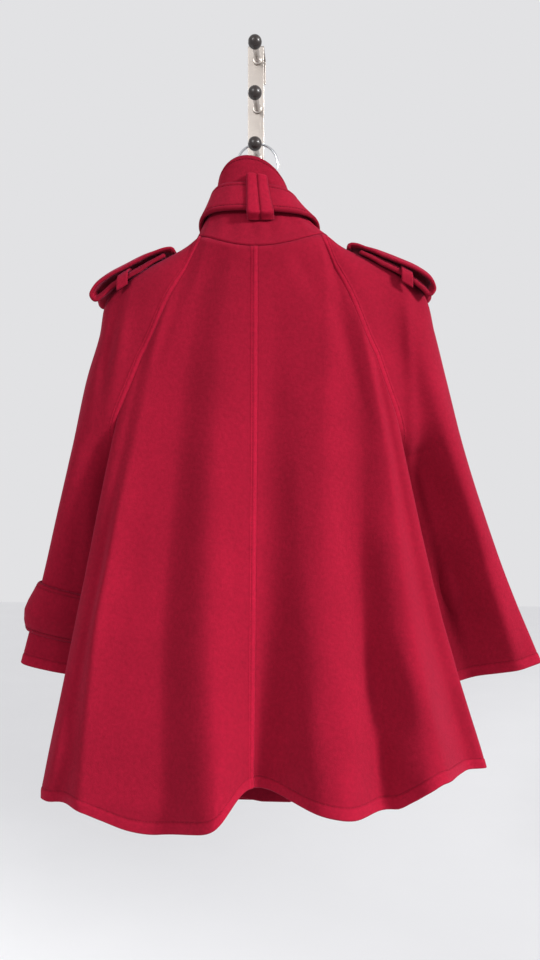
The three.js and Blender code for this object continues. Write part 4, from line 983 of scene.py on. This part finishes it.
def sewing_thread():
    """Polyester sewing thread in the coat's colour: two plies twisted, a soft gleam. The twist
    is drawn 2 mm apart, coarser than the real one, so that it shows at all."""
    def paint(tree, where):
        thread = colours().thread
        inputs = {"Vector": where, "Scale": bands(2.07), "Distortion": 1.0}
        twist = add_node(tree, "ShaderNodeTexWave", inputs, bands_direction="DIAGONAL"), "Fac"
        return {"Base Color": mixed(tree, twist, rgba(thread, 0.7), rgba(thread, 1.25))}

    return surface_material("Crimson polyester thread", {"Roughness": 0.85, "Specular IOR Level": 0.1}, paint)


def moulded_button():
    """Moulded button in the manner of horn: deep red brown with a smoky swirl some 5 mm wide
    and a low polish."""
    def paint(tree, where):
        brown = colours().button
        smoke = noise(tree, where, cells(5.26), Detail=3.0, Distortion=1.4)
        return {"Base Color": mixed(tree, smoke, rgba(brown, 0.5), rgba(brown, 1.9))}

    return surface_material("Dark moulded horn button", {"Roughness": 0.34, "Coat Weight": 0.15}, paint)


def lacquered_beech():
    """Steamed beech under clear lacquer: pale warm wood with rays about 2 mm apart."""
    def paint(tree, where):
        beech = colours().beech
        grain = noise(tree, stretched(tree, where, 33.3, 2.08, 2.08), 1.0, Detail=4.0)
        return {"Base Color": mixed(tree, grain, rgba(beech, 0.7), rgba(beech, 1.15)),
                "Normal": bump(tree, grain, 0.25, 0.2)}

    return surface_material("Lacquered beech", {"Roughness": 0.38, "Coat Weight": 0.3}, paint)


def stained_knob_wood():
    """Turned hardwood with a nearly black stain and semi-gloss lacquer: a small soft highlight
    and a hint of grain 1 mm wide across the turning."""
    def paint(tree, where):
        stain = colours().knob
        grain = noise(tree, stretched(tree, where, 1.11, 6.25, 1.11), 1.0, Detail=3.0)
        return {"Base Color": mixed(tree, grain, rgba(stain, 0.55), rgba(stain, 1.7))}

    return surface_material("Dark stained turned wood",
                            {"Roughness": 0.4, "Coat Weight": 0.15, "Coat Roughness": 0.2}, paint)


def plated_metal(name, colour, roughness, grain_mm):
    """Nickel or chrome plate on steel: metallic, with fine polishing lines across its length
    that widen the highlight, and slight handling marks 17 mm wide in its gloss."""
    def paint(tree, where):
        lines = noise(tree, stretched(tree, where, *grain_mm), 1.0, Detail=3.0)
        marks = noise(tree, where, cells(16.7), Detail=2.0)
        return {"Base Color": mixed(tree, lines, rgba(colour, 0.9), rgba(colour, 1.08)),
                "Roughness": ranged(tree, marks, roughness - 0.08, roughness + 0.1),
                "Normal": bump(tree, lines, 0.12, 0.1)}

    return surface_material(name, {"Metallic": 1.0}, paint)


def satin_nickel():
    """Polished in level lines 0.4 mm apart."""
    return plated_metal("Satin nickel plate", colours().nickel, 0.42, (11.1, 11.1, 0.385))


def bright_wire():
    """Drawn and plated wire, with fine marks in all directions."""
    return plated_metal("Bright plated wire", colours().chrome, 0.2, (0.667, 0.667, 0.667))


def pale_floor():
    """Matt painted floor, with clouds a third of a metre wide."""
    def paint(tree, where):
        return {"Base Color": mixed(tree, noise(tree, where, cells(333)), rgba((0.9, 0.9, 0.91)),
                                    rgba((0.93, 0.93, 0.94)))}

    return surface_material("Pale matt floor", {"Roughness": 0.9, "Specular IOR Level": 0.1}, paint)


# Pieces

def panels():
    """Each panel's grid, its normals and the sign of its outer side. Panels share their
    normals along the seams in which they meet."""
    grids, normals, outward = {}, {}, {}
    for side, row in SIDE_LINES.items():
        back, front = (body_grid(side, face, PANEL_COLUMNS[face]) for face in ("back", "front"))
        sleeve = sleeve_grid(side, back, front, PANEL_COLUMNS["sleeve"])
        for part, grid, way in (("back", back, -1), ("front", front, 1), ("sleeve", sleeve, -1)):
            name = f"{part}_{side}"
            grids[name], outward[name] = grid, way * row["sign"]
            normals[name] = grid_normals(grid, outward[name])
    share_normals(normals["back_left"][:, 0], normals["back_right"][:, 0])
    above, under, below = slice(0, UPPER_ROWS), slice(UPPER_ROWS, UPPER_ROWS + 1), slice(UPPER_ROWS + 1, None)
    for side in SIDE_LINES:
        back, front, sleeve = (normals[f"{part}_{side}"] for part in PANEL_COLUMNS)
        share_normals(back[above, -1], sleeve[above, 0])
        share_normals(front[above, -1], sleeve[above, -1])
        share_normals(back[under, -1], front[under, -1], sleeve[under, 0], sleeve[under, -1])
        share_normals(back[below, -1], front[below, -1])
        share_normals(sleeve[below, 0], sleeve[below, -1])
    return grids, normals, outward


def panel_sewing(name, grid, normals):
    """A panel's relief and its stitch lines: the hem, the raglan laps on the sleeves and the
    centre-back lap on the left back."""
    is_sleeve = name.startswith("sleeve")
    along, lower = (SLEEVE_ALONG, SLEEVE_LOWER_LENGTH) if is_sleeve else (BODY_ALONG, BODY_LOWER_LENGTH)
    lengths = np.array([line_lengths(row) for row in grid])
    lift = sewn_relief("hem", (2 - along[:, None]) * lower, HEM_STEPS[HEM_STITCH])
    lap_ends, rows = [], slice(1, None)
    if is_sleeve:
        laps = sum(sewn_relief("lap", distance, LAP_STEPS[LAP_STITCH])
                   for distance in (lengths, lengths[:, -1:] - lengths))
        lift = lift + (1 - ease((along[:, None] - LAP_FADE["from"]) / LAP_FADE["over"])) * laps
        lap_ends, rows = [LAP_STITCH, -1 - LAP_STITCH], slice(1, int((along < LAP_FADE["stitched_to"]).sum()))
    elif name == "back_left":
        lift = lift + sewn_relief("lap", lengths, LAP_STEPS[LAP_STITCH])
        lap_ends = [LAP_STITCH]
    stitches = [(grid[rows, k] + normals[rows, k] * STITCH_LIFT["lap"], normals[rows, k]) for k in lap_ends]
    row = len(along) - 1 - HEM_STITCH
    stitches.append((grid[row] + normals[row] * STITCH_LIFT["hem"], normals[row]))
    return lift, stitches


def body_and_sleeves():
    """All six panels and their stitch lines."""
    grids, normals, outward = panels()
    stitches = []
    for name in WOOL_NODES:
        lift, lines = panel_sewing(name, grids[name], normals[name])
        stitches += lines
        cloth_piece(name, grids[name], normals[name], outward[name], size("cloth"), lift, "panel")
    add_stitching("seam_stitching", stitches)


def collar_surface(angle, height, layer):
    """From the neck ring to the top edge: across and depth follow height times one plus a
    share of what is left, so that the funnel is hollow, and z follows height itself."""
    turn = angle * DEGREES
    distance = np.abs(180 - np.abs(angle)) * NECK_RING["across"] * DEGREES
    shift = layer_shift(layer, distance)
    foot = neck_point(angle, shift)
    top = place(COLLAR_TOP["shift"] + COLLAR_TOP["across"] * np.sin(turn),
                COLLAR_TOP["depth"] + COLLAR_TOP["swing"] * np.cos(turn) - shift,
                COLLAR_TOP["z"] + COLLAR_TOP["tilt"] * np.cos(turn) + COLLAR_TOP["lean"] * np.sin(turn))
    inward = (height * (1 + COLLAR_HOLLOW * (1 - height)))[..., None]
    point = foot + (top - foot) * inward
    point[..., 2] = (foot[..., 2] + COLLAR_LIFT) * (1 - height) + top[..., 2] * height
    return point


def collar_point(angle, height, out=0.0, layer=None):
    """A point of the collar moved out along the collar's own normal."""
    angle, height, out = np.broadcast_arrays(*(np.asarray(v, float) for v in (angle, height, out)))
    layer = np.sign(angle) if layer is None else np.full(angle.shape, float(layer))
    around = collar_surface(angle + 1, height, layer) - collar_surface(angle - 1, height, layer)
    rise = collar_surface(angle, height + 0.02, layer) - collar_surface(angle, height - 0.02, layer)
    return collar_surface(angle, height, layer) + unit(np.cross(around, rise)) * out[..., None]


def collar_height_length(angle):
    """Length of the straight line from the collar's foot to its top edge."""
    return np.linalg.norm(collar_point(angle, 0.0) - collar_point(angle, 1.0), axis=-1)


def collar_piece():
    """The funnel collar, ruffled slightly where the belt draws it in."""
    angle = np.linspace(-COLLAR_WRAP, COLLAR_WRAP, COLLAR_COLUMNS)[None]
    height = COLLAR_ROWS[:, None]
    drawn = np.exp(-(((height - RUFFLE["height"]) / RUFFLE["spread"]) ** 2))
    turn = angle * DEGREES
    drift = RUFFLE["drift"] * np.sin(turn * RUFFLE["drift_waves"])
    ruffle = RUFFLE["rise"] * drawn * np.sin(turn * RUFFLE["waves"] + drift)
    grid = collar_point(angle, height, ruffle)
    normals = grid_normals(grid, 1)
    normals[0, :, 2] = 0
    normals[0] = unit(normals[0])
    span, inset = collar_height_length(angle), size("topstitch")
    lift = sewn_relief("strap", (1 - height) * span, inset)
    cloth_piece("collar", grid, normals, 1, size("collar"), lift, "collar")
    stitched = collar_point(angle[0], 1 - inset / span[0], STITCH_LIFT["collar"])
    return [(stitched, unit(collar_point(angle[0], 0.9, 1.0) - collar_point(angle[0], 0.9, 0.0)))]


def belt_outs(angle, share):
    """How far the belt's outer side stands off the collar: its thickness, a flare towards its
    lower edge, and its own thickness again where the ends lap."""
    flare = read_curve(BELT_LINE["angle"], BELT_LINE["flare"], np.abs(angle))
    distance = np.abs(180 - np.abs(angle)) * NECK_RING["across"] * DEGREES
    lapped = np.where(angle > 0, layer_shift(1, distance) / LAYER_SHIFT, 0)
    strap = size("strap")
    return BELT_UNDER_GAP + strap + lapped * (strap + TOUCH_GAP) + flare * (1 - share) ** BELT_FLARE


def belt_piece():
    """The throat belt: rows across its width, carried round the collar, slightly padded."""
    angle = np.linspace(-COLLAR_WRAP, COLLAR_WRAP, BELT_COLUMNS)[None]
    share = BELT_ROWS[:, None]
    middle = read_curve(BELT_LINE["angle"], BELT_LINE["height"], np.abs(angle))
    height = middle + (share - 0.5) * BELT_WIDTH / collar_height_length(angle)
    grid = collar_point(angle, height, belt_outs(angle, share), 1)
    normals = grid_normals(grid, 1)
    swell = 1 + 0.5 * np.sin(angle * DEGREES * PADDING["belt_waves"])
    padded = PADDING["belt"] * (1 - (2 * share - 1) ** 2) * swell
    lift = sewn_relief("strap", np.minimum(share, 1 - share) * BELT_WIDTH, size("topstitch")) + padded
    cloth_piece("throat_belt", grid, normals, 1, size("strap"), lift, "belt")
    return stitch_lines(grid, normals, share[:, 0] * BELT_WIDTH)


def loop_lift(kind, share):
    """A loop's rounding over its width, by one minus the fourth power of the share."""
    return LOOP_ROUNDING[kind]["rise"] * (1 - share ** 4) - LOOP_ROUNDING[kind]["sink"]


def keeper_piece(node, middle_angle):
    """A folded band that rises from the collar, runs over the belt and goes back to it."""
    rows, columns = KEEPER_GRID
    places = np.linspace(0, len(KEEPER_HEIGHTS) - 1, rows)[:, None]
    height = np.interp(places, np.arange(len(KEEPER_HEIGHTS)), KEEPER_HEIGHTS)
    share = np.linspace(-1, 1, columns)[None]
    angle = middle_angle + share * math.degrees(math.asin(KEEPER_WIDTH / 2 / COLLAR_BACK_RADIUS))
    middle = float(read_curve(BELT_LINE["angle"], BELT_LINE["height"], abs(middle_angle)))
    half_belt = BELT_WIDTH / 2 / float(collar_height_length(np.array(middle_angle)))
    on_belt = np.clip((middle + half_belt - height) / (2 * half_belt), 0, 1)
    flare = read_curve(BELT_LINE["angle"], BELT_LINE["flare"], np.abs(angle))
    over = BELT_UNDER_GAP + size("strap") + flare * on_belt ** BELT_FLARE + KEEPER_GAP + KEEPER_WALL
    rise = ease((height - KEEPER_HEIGHTS[0]) / KEEPER_RAMP) * ease((KEEPER_HEIGHTS[-1] - height) / KEEPER_RAMP)
    low = TOUCH_GAP + KEEPER_WALL
    grid = collar_point(angle, height, low + (over - low) * rise)
    cloth_piece(node, grid, grid_normals(grid, 1), 1, KEEPER_WALL, loop_lift("keeper", share), "loop")


def epaulette_piece(side):
    """A folded shoulder strap: its middle line in the plane of the shoulders, carried in
    depth, with its edges dropping by the square of the distance from the middle."""
    sign, strap, rows = SIDE_LINES[side]["sign"], size("strap"), EPAULETTES[side]
    line = smooth_line(np.stack([rows["out"], rows["z"]], -1), EPAULETTE_ROWS)
    share = EPAULETTE_COLUMNS[None]
    drop = EPAULETTE_DROP * np.clip((line[:, :1] - EPAULETTE_FLAT_TO) / EPAULETTE_WIDTH, 0, 1)
    half = EPAULETTE_WIDTH / 2
    middle = place(sign * line[:, :1], EPAULETTE_DEPTH + share * half, line[:, 1:] - drop * share ** 2)
    grid = middle + grid_normals(middle, sign) * strap / 2
    normals = grid_normals(grid, sign)
    lift = sewn_relief("strap", (1 - np.abs(share)) * half, size("topstitch"))
    lift = lift + PADDING["epaulette"] * (1 - share ** 2)
    cloth_piece(f"epaulette_{side}", grid, normals, sign, strap, lift, "epaulette")
    return stitch_lines(grid.swapaxes(0, 1), normals.swapaxes(0, 1), (1 + share[0]) * half)


def carrier_piece(side):
    """A small loop over an epaulette's lower layer."""
    sign, foot, (rows, columns) = SIDE_LINES[side]["sign"], CARRIERS[side], CARRIER_GRID
    arch = smooth_line(np.stack([CARRIER_ARCH["off"], CARRIER_ARCH["rise"]], -1), rows)
    slope = np.array(CARRIER_SLOPE, float) / np.linalg.norm(CARRIER_SLOPE)
    share = np.linspace(-0.5, 0.5, columns)[None]
    grid = place(sign * (foot["out"] + share * CARRIER_WIDTH * slope[0]), EPAULETTE_DEPTH + arch[:, :1],
                 foot["z"] + arch[:, 1:] + share * CARRIER_WIDTH * slope[1])
    cloth_piece(f"carrier_{side}", grid, grid_normals(grid, sign), sign, CARRIER_WALL,
                loop_lift("carrier", 2 * share), "loop")


def cuff_strap_piece():
    """The left cuff strap: the sleeve's own section, moved out by the strap's thickness and a
    puff that is greatest at the outer edge."""
    rows, columns = CUFF_GRID
    along = np.linspace(CUFF_STRAP["from"], CUFF_STRAP["to"], rows)
    angle = np.linspace(CUFF_STRAP["turn"], -CUFF_STRAP["turn"], columns)[None]
    seam = np.broadcast_to(underarm_seam("left", along)[:, None], (rows, columns, 3))
    sleeve = sleeve_wall("left", along[:, None], angle, seam)
    puff = np.interp(along, np.linspace(along[0], along[-1], len(CUFF_STRAP["puff"])), CUFF_STRAP["puff"])
    calm = CUFF_STRAP["calm"]
    out = TOUCH_GAP + CUFF_STRAP["wall"] + puff[:, None] * (calm + (1 - calm) * np.cos(angle * DEGREES))
    grid = sleeve + grid_normals(sleeve, 1) * out[..., None]
    normals = grid_normals(grid, 1)
    down = line_lengths(grid[:, columns // 2])
    lift = sewn_relief("strap", np.minimum(down, down[-1] - down), size("topstitch"))[:, None]
    cloth_piece("cuff_strap_left", grid, normals, 1, CUFF_STRAP["wall"], lift, "cuff_strap")
    return stitch_lines(grid, normals, down)


def button_piece(node, centre_x, seat_y, centre_z):
    """A sewn button: rings of a disc with a raised rim and a dished middle, whose sewing holes
    are bells sunk into the dish."""
    radius, thick, sides = size("button"), BUTTON["thick"], BUTTON["sides"]
    holes = bpy.context.scene.cape_coat_sizes.holes
    ring = np.array(BUTTON_RINGS)[:, None]
    turn = np.arange(sides)[None] / sides * 2 * math.pi
    x, z = ring * radius * np.cos(turn), ring * radius * np.sin(turn)
    dished = 1 - ease((ring - BUTTON["dish_to"]) / BUTTON["dish_over"])
    rounded = ease((ring - BUTTON["edge_from"]) / (1 - BUTTON["edge_from"])) ** 2
    height = np.broadcast_to(thick - BUTTON["dish"] * dished - BUTTON["edge"] * rounded, x.shape)
    for hole in range(holes):
        way, out = (hole + 0.5) / holes * 2 * math.pi, BUTTON["hole_ring"] * radius
        apart = (x - out * math.cos(way)) ** 2 + (z - out * math.sin(way)) ** 2
        height = height - BUTTON["hole_depth"] * np.exp(-apart / BUTTON["hole_area"])
    upper = np.stack([x, height, z], -1).reshape(-1, 3)
    back = np.stack([x[-1], 0 * x[-1], z[-1]], -1) * BUTTON["back"]
    points = np.concatenate([upper, back, [[0, thick - BUTTON["dish"], 0], [0, 0, 0]]])
    rings, tip = len(ring) + 1, (len(ring) + 1) * sides
    faces = ring_quads(rings, sides) + fan(0, sides, tip, True) + fan(tip - sides, sides, tip + 1)
    points = points + [centre_x, seat_y, centre_z]
    add_piece(node + "_moulded", points, faces, moulded_button(), node)


def hanger_pieces():
    """The hanger's arms, an ellipse swept along the shoulders with rounded ends, and its wire
    hook."""
    drop = size("cloth") + ARM_UNDER["clearance"] + ARM_SECTION["half_height"]
    arms = []
    for side, row in SIDE_LINES.items():
        out, depth, z = (read_column(SLEEVE_EDGES[side], name, np.array(ARM_ALONG))
                         for name in ("out", "depth", "z"))
        arms.append(place(row["sign"] * (out - drop * ARM_UNDER["inward"]), depth + ARM_UNDER["set_back"],
                          z - drop * ARM_UNDER["down"]))
    neck = place(*(np.array(ARM_NECK[name]) for name in ("across", "depth", "z")))
    path = smooth_line(np.concatenate([arms[0][::-1], neck, arms[1]]), ARM_POINTS)
    section = ellipse(ARM_SECTION["half_depth"], ARM_SECTION["half_height"])
    points, faces = sweep(path, section, np.array([0.0, 1, 0]))
    share = np.linspace(0, 1, ARM_POINTS)
    from_end = np.clip(np.minimum(share, 1 - share) * ARM_SECTION["end_turns"], ARM_SECTION["end_least"], 1)
    rounded = np.sqrt(1 - (1 - from_end) ** 2)[:, None, None]
    points = path[:, None] + (points - path[:, None]) * rounded
    add_piece("hanger_arms_beech", points.reshape(-1, 3), faces, lacquered_beech(), "hanger_arms")
    turn = np.array(HOOK_ANGLES) * DEGREES
    ring = np.stack([HOOK_RING["x"] + HOOK_RING["radius"] * np.cos(turn),
                     np.full(len(turn), BACK_PLANE - HOOK_RING["depth"]),
                     HOOK_RING["z"] + HOOK_RING["radius"] * np.sin(turn)], -1)
    shank = np.stack([np.full(3, HOOK_RING["x"]), BACK_PLANE - np.array(HOOK_SHANK["depth"]),
                      HOOK_SHANK["z"]], -1)
    points, faces = sweep(smooth_line(np.concatenate([shank, ring]), HOOK_POINTS),
                          ellipse(size("wire"), size("wire"), 16), np.array([0.0, 1, 0]))
    add_piece("hanger_hook_wire", points.reshape(-1, 3), faces, bright_wire(), "hanger_hook")


def rack_pieces():
    """The bent strap, a bar with rounded corners carried over the bridge, with turned pegs and
    ball knobs."""
    half_wall, bend, corner = STRIP["half_wall"], STRIP["bend"], STRIP["corner"]
    middle = BRIDGE_SPAN / 2 + half_wall
    turn = np.linspace(0, 90, 9) * DEGREES
    rear = np.stack([middle - bend + bend * np.cos(turn), half_wall - bend + bend * np.sin(turn)], -1)
    rear_end = [[middle, -REAR_LEG], [middle, -REAR_LEG + STRIP["end"]]]
    front_end = [[-middle, -STRIP_LENGTH + STRIP["end"]], [-middle, -STRIP_LENGTH]]
    line = np.concatenate([rear_end, rear, rear[::-1] * [-1, 1], front_end])
    path = np.insert(line, 0, 0, 1)
    turn = np.linspace(0, 90, 5) * DEGREES
    arc = np.stack([STRIP["half_width"] - corner + corner * np.cos(turn),
                    half_wall - corner + corner * np.sin(turn)], -1)
    section = np.concatenate([arc, arc[::-1] * [-1, 1], -arc, arc[::-1] * [1, -1]])
    points, faces = sweep(path, section, np.array([1.0, 0, 0]))
    for end in (0, -1):
        points[end] = path[end] + (points[end] - path[end]) * STRIP["end_share"]
    strap = add_piece("rack_strap_bent", points.reshape(-1, 3), faces, satin_nickel(),
                      "rack_strap")
    strap.data.polygons.foreach_set("use_smooth", np.zeros(len(strap.data.polygons), bool))
    knob = size("knob")
    turn = np.linspace(math.pi - math.acos(KNOB_SEAT), 0, 30)
    ball_radii = np.concatenate([[0], knob * np.sin(turn)])
    ball_depths = KNOB_DEPTH + knob * np.concatenate([[-KNOB_SEAT], np.cos(turn)])
    for number, z in enumerate(KNOB_HEIGHTS, 1):
        points, faces = lathe(PEG["radius"], PEG["depth"], (PEG_X, z))
        add_piece(f"peg_{number}_turned", points, faces, satin_nickel(), f"peg_{number}")
        points, faces = lathe(ball_radii, ball_depths, (PEG_X, z))
        add_piece(f"knob_{number}_turned", points, faces, stained_knob_wood(), f"knob_{number}")


def stage_pieces():
    """A pale floor far below, a pale even world, a large soft key light from the right, front
    and above, a weak fill from the left, a faint rim light from behind, and the camera."""
    half, z = FLOOR["half"], FLOOR["z"]
    mesh = bpy.data.meshes.new("floor")
    corners = [(-half, -half, z), (half, -half, z), (half, half, z), (-half, half, z)]
    mesh.from_pydata(corners, [], [(0, 1, 2, 3)])
    mesh.materials.append(pale_floor())
    floor = bpy.data.objects.new("floor", mesh)
    bpy.context.scene.collection.objects.link(floor)

    world = bpy.data.worlds.new("Pale studio")
    world.use_nodes = True
    world.node_tree.nodes["Background"].inputs["Color"].default_value = rgba(colours().stage)
    world.node_tree.nodes["Background"].inputs["Strength"].default_value = 1.0
    bpy.context.scene.world = world
    bpy.context.scene.view_settings.view_transform = "Standard"

    for row in LIGHTS:
        light = bpy.data.lights.new(row["name"], "AREA")
        light.shape, light.size, light.energy = "DISK", row["size"], row["energy"]
        light.spread = math.radians(LIGHT_SPREAD)
        lamp = bpy.data.objects.new(row["name"], light)
        lamp.location = row["place"]
        aim = np.array(LIGHT_AIM) - np.array(row["place"])
        lamp.rotation_euler = (math.acos(-aim[2] / np.linalg.norm(aim)), 0,
                               math.atan2(aim[1], aim[0]) - math.pi / 2)
        bpy.context.scene.collection.objects.link(lamp)

    lens = bpy.data.cameras.new("camera")
    lens.lens, lens.sensor_width = CAMERA["lens"], CAMERA["sensor"]
    camera = bpy.data.objects.new("camera", lens)
    camera.location = CAMERA["place"]
    camera.rotation_euler = (math.radians(CAMERA["tilt"]), 0, math.radians(CAMERA["turn"]))
    bpy.context.scene.collection.objects.link(camera)
    bpy.context.scene.camera = camera


# Operators

class CAPECOAT_OT_stage(bpy.types.Operator):
    """Add the floor, the lights and the camera"""
    bl_idname = "capecoat.stage"
    bl_label = "Stage"

    def execute(self, context):
        stage_pieces()
        return {"FINISHED"}


class CAPECOAT_OT_body(bpy.types.Operator):
    """Build the back panels, the fronts and the raglan sleeves"""
    bl_idname = "capecoat.body"
    bl_label = "Body and sleeves"

    def execute(self, context):
        body_and_sleeves()
        return {"FINISHED"}


class CAPECOAT_OT_collar(bpy.types.Operator):
    """Build the funnel collar, the throat belt and its two keepers"""
    bl_idname = "capecoat.collar"
    bl_label = "Collar and belt"

    def execute(self, context):
        stitches = collar_piece() + belt_piece()
        for node, angle in KEEPERS.items():
            keeper_piece(node, angle)
        add_stitching("collar_stitching", stitches)
        return {"FINISHED"}


class CAPECOAT_OT_straps(bpy.types.Operator):
    """Build the epaulettes, their carriers and the left cuff strap"""
    bl_idname = "capecoat.straps"
    bl_label = "Epaulettes and cuff strap"

    def execute(self, context):
        stitches = epaulette_piece("left") + epaulette_piece("right") + cuff_strap_piece()
        carrier_piece("left")
        carrier_piece("right")
        add_stitching("strap_stitching", stitches)
        return {"FINISHED"}


class CAPECOAT_OT_buttons(bpy.types.Operator):
    """Build the buttons of the fronts and of the belt"""
    bl_idname = "capecoat.buttons"
    bl_label = "Buttons"

    def execute(self, context):
        for number, z in enumerate(BUTTON_HEIGHTS, 1):
            x, y, _ = front_point("right", np.zeros(1), np.full(1, float(z)))[0]
            button_piece(f"button_{number}", x, y + 2 * TOUCH_GAP, z)
        seat = collar_point(180.0, BELT_BUTTON_HEIGHT, 2 * size("strap") + BELT_BUTTON_GAP, 1)
        button_piece("belt_button", *seat)
        return {"FINISHED"}


class CAPECOAT_OT_hanger(bpy.types.Operator):
    """Build the wooden hanger and its wire hook"""
    bl_idname = "capecoat.hanger"
    bl_label = "Hanger"

    def execute(self, context):
        hanger_pieces()
        return {"FINISHED"}


class CAPECOAT_OT_rack(bpy.types.Operator):
    """Build the bent strap with its pegs and knobs"""
    bl_idname = "capecoat.rack"
    bl_label = "Hook rack"

    def execute(self, context):
        rack_pieces()
        return {"FINISHED"}


OPERATORS = (CAPECOAT_OT_stage, CAPECOAT_OT_body, CAPECOAT_OT_collar, CAPECOAT_OT_straps, CAPECOAT_OT_buttons,
             CAPECOAT_OT_hanger, CAPECOAT_OT_rack)


class CAPECOAT_PT_panel(bpy.types.Panel):
    """Lists the steps, the sizes and the colours"""
    bl_label = "Cape Coat"
    bl_idname = "CAPECOAT_PT_panel"
    bl_space_type = "VIEW_3D"
    bl_region_type = "UI"
    bl_category = "Cape Coat"

    def draw(self, context):
        for operator in OPERATORS:
            self.layout.operator(operator.bl_idname)
        for group in (context.scene.cape_coat_sizes, context.scene.cape_coat_colours):
            column = self.layout.column()
            for name in group.bl_rna.properties.keys():
                if name not in ("rna_type", "name"):
                    column.prop(group, name)


CLASSES = (CapeCoatSizes, CapeCoatColours, *OPERATORS, CAPECOAT_PT_panel)


def register():
    """Registers the classes and hangs the sizes and colours on the scene."""
    for one in CLASSES:
        bpy.utils.register_class(one)
    bpy.types.Scene.cape_coat_sizes = PointerProperty(type=CapeCoatSizes)
    bpy.types.Scene.cape_coat_colours = PointerProperty(type=CapeCoatColours)


def unregister():
    """Takes back what register does, in reverse."""
    del bpy.types.Scene.cape_coat_colours
    del bpy.types.Scene.cape_coat_sizes
    for one in reversed(CLASSES):
        bpy.utils.unregister_class(one)


def main():
    """Builds the stage and the pieces in order."""
    register()
    bpy.ops.capecoat.stage()
    bpy.ops.capecoat.body()
    bpy.ops.capecoat.collar()
    bpy.ops.capecoat.straps()
    bpy.ops.capecoat.buttons()
    bpy.ops.capecoat.hanger()
    bpy.ops.capecoat.rack()


if __name__ == "__main__":
    main()
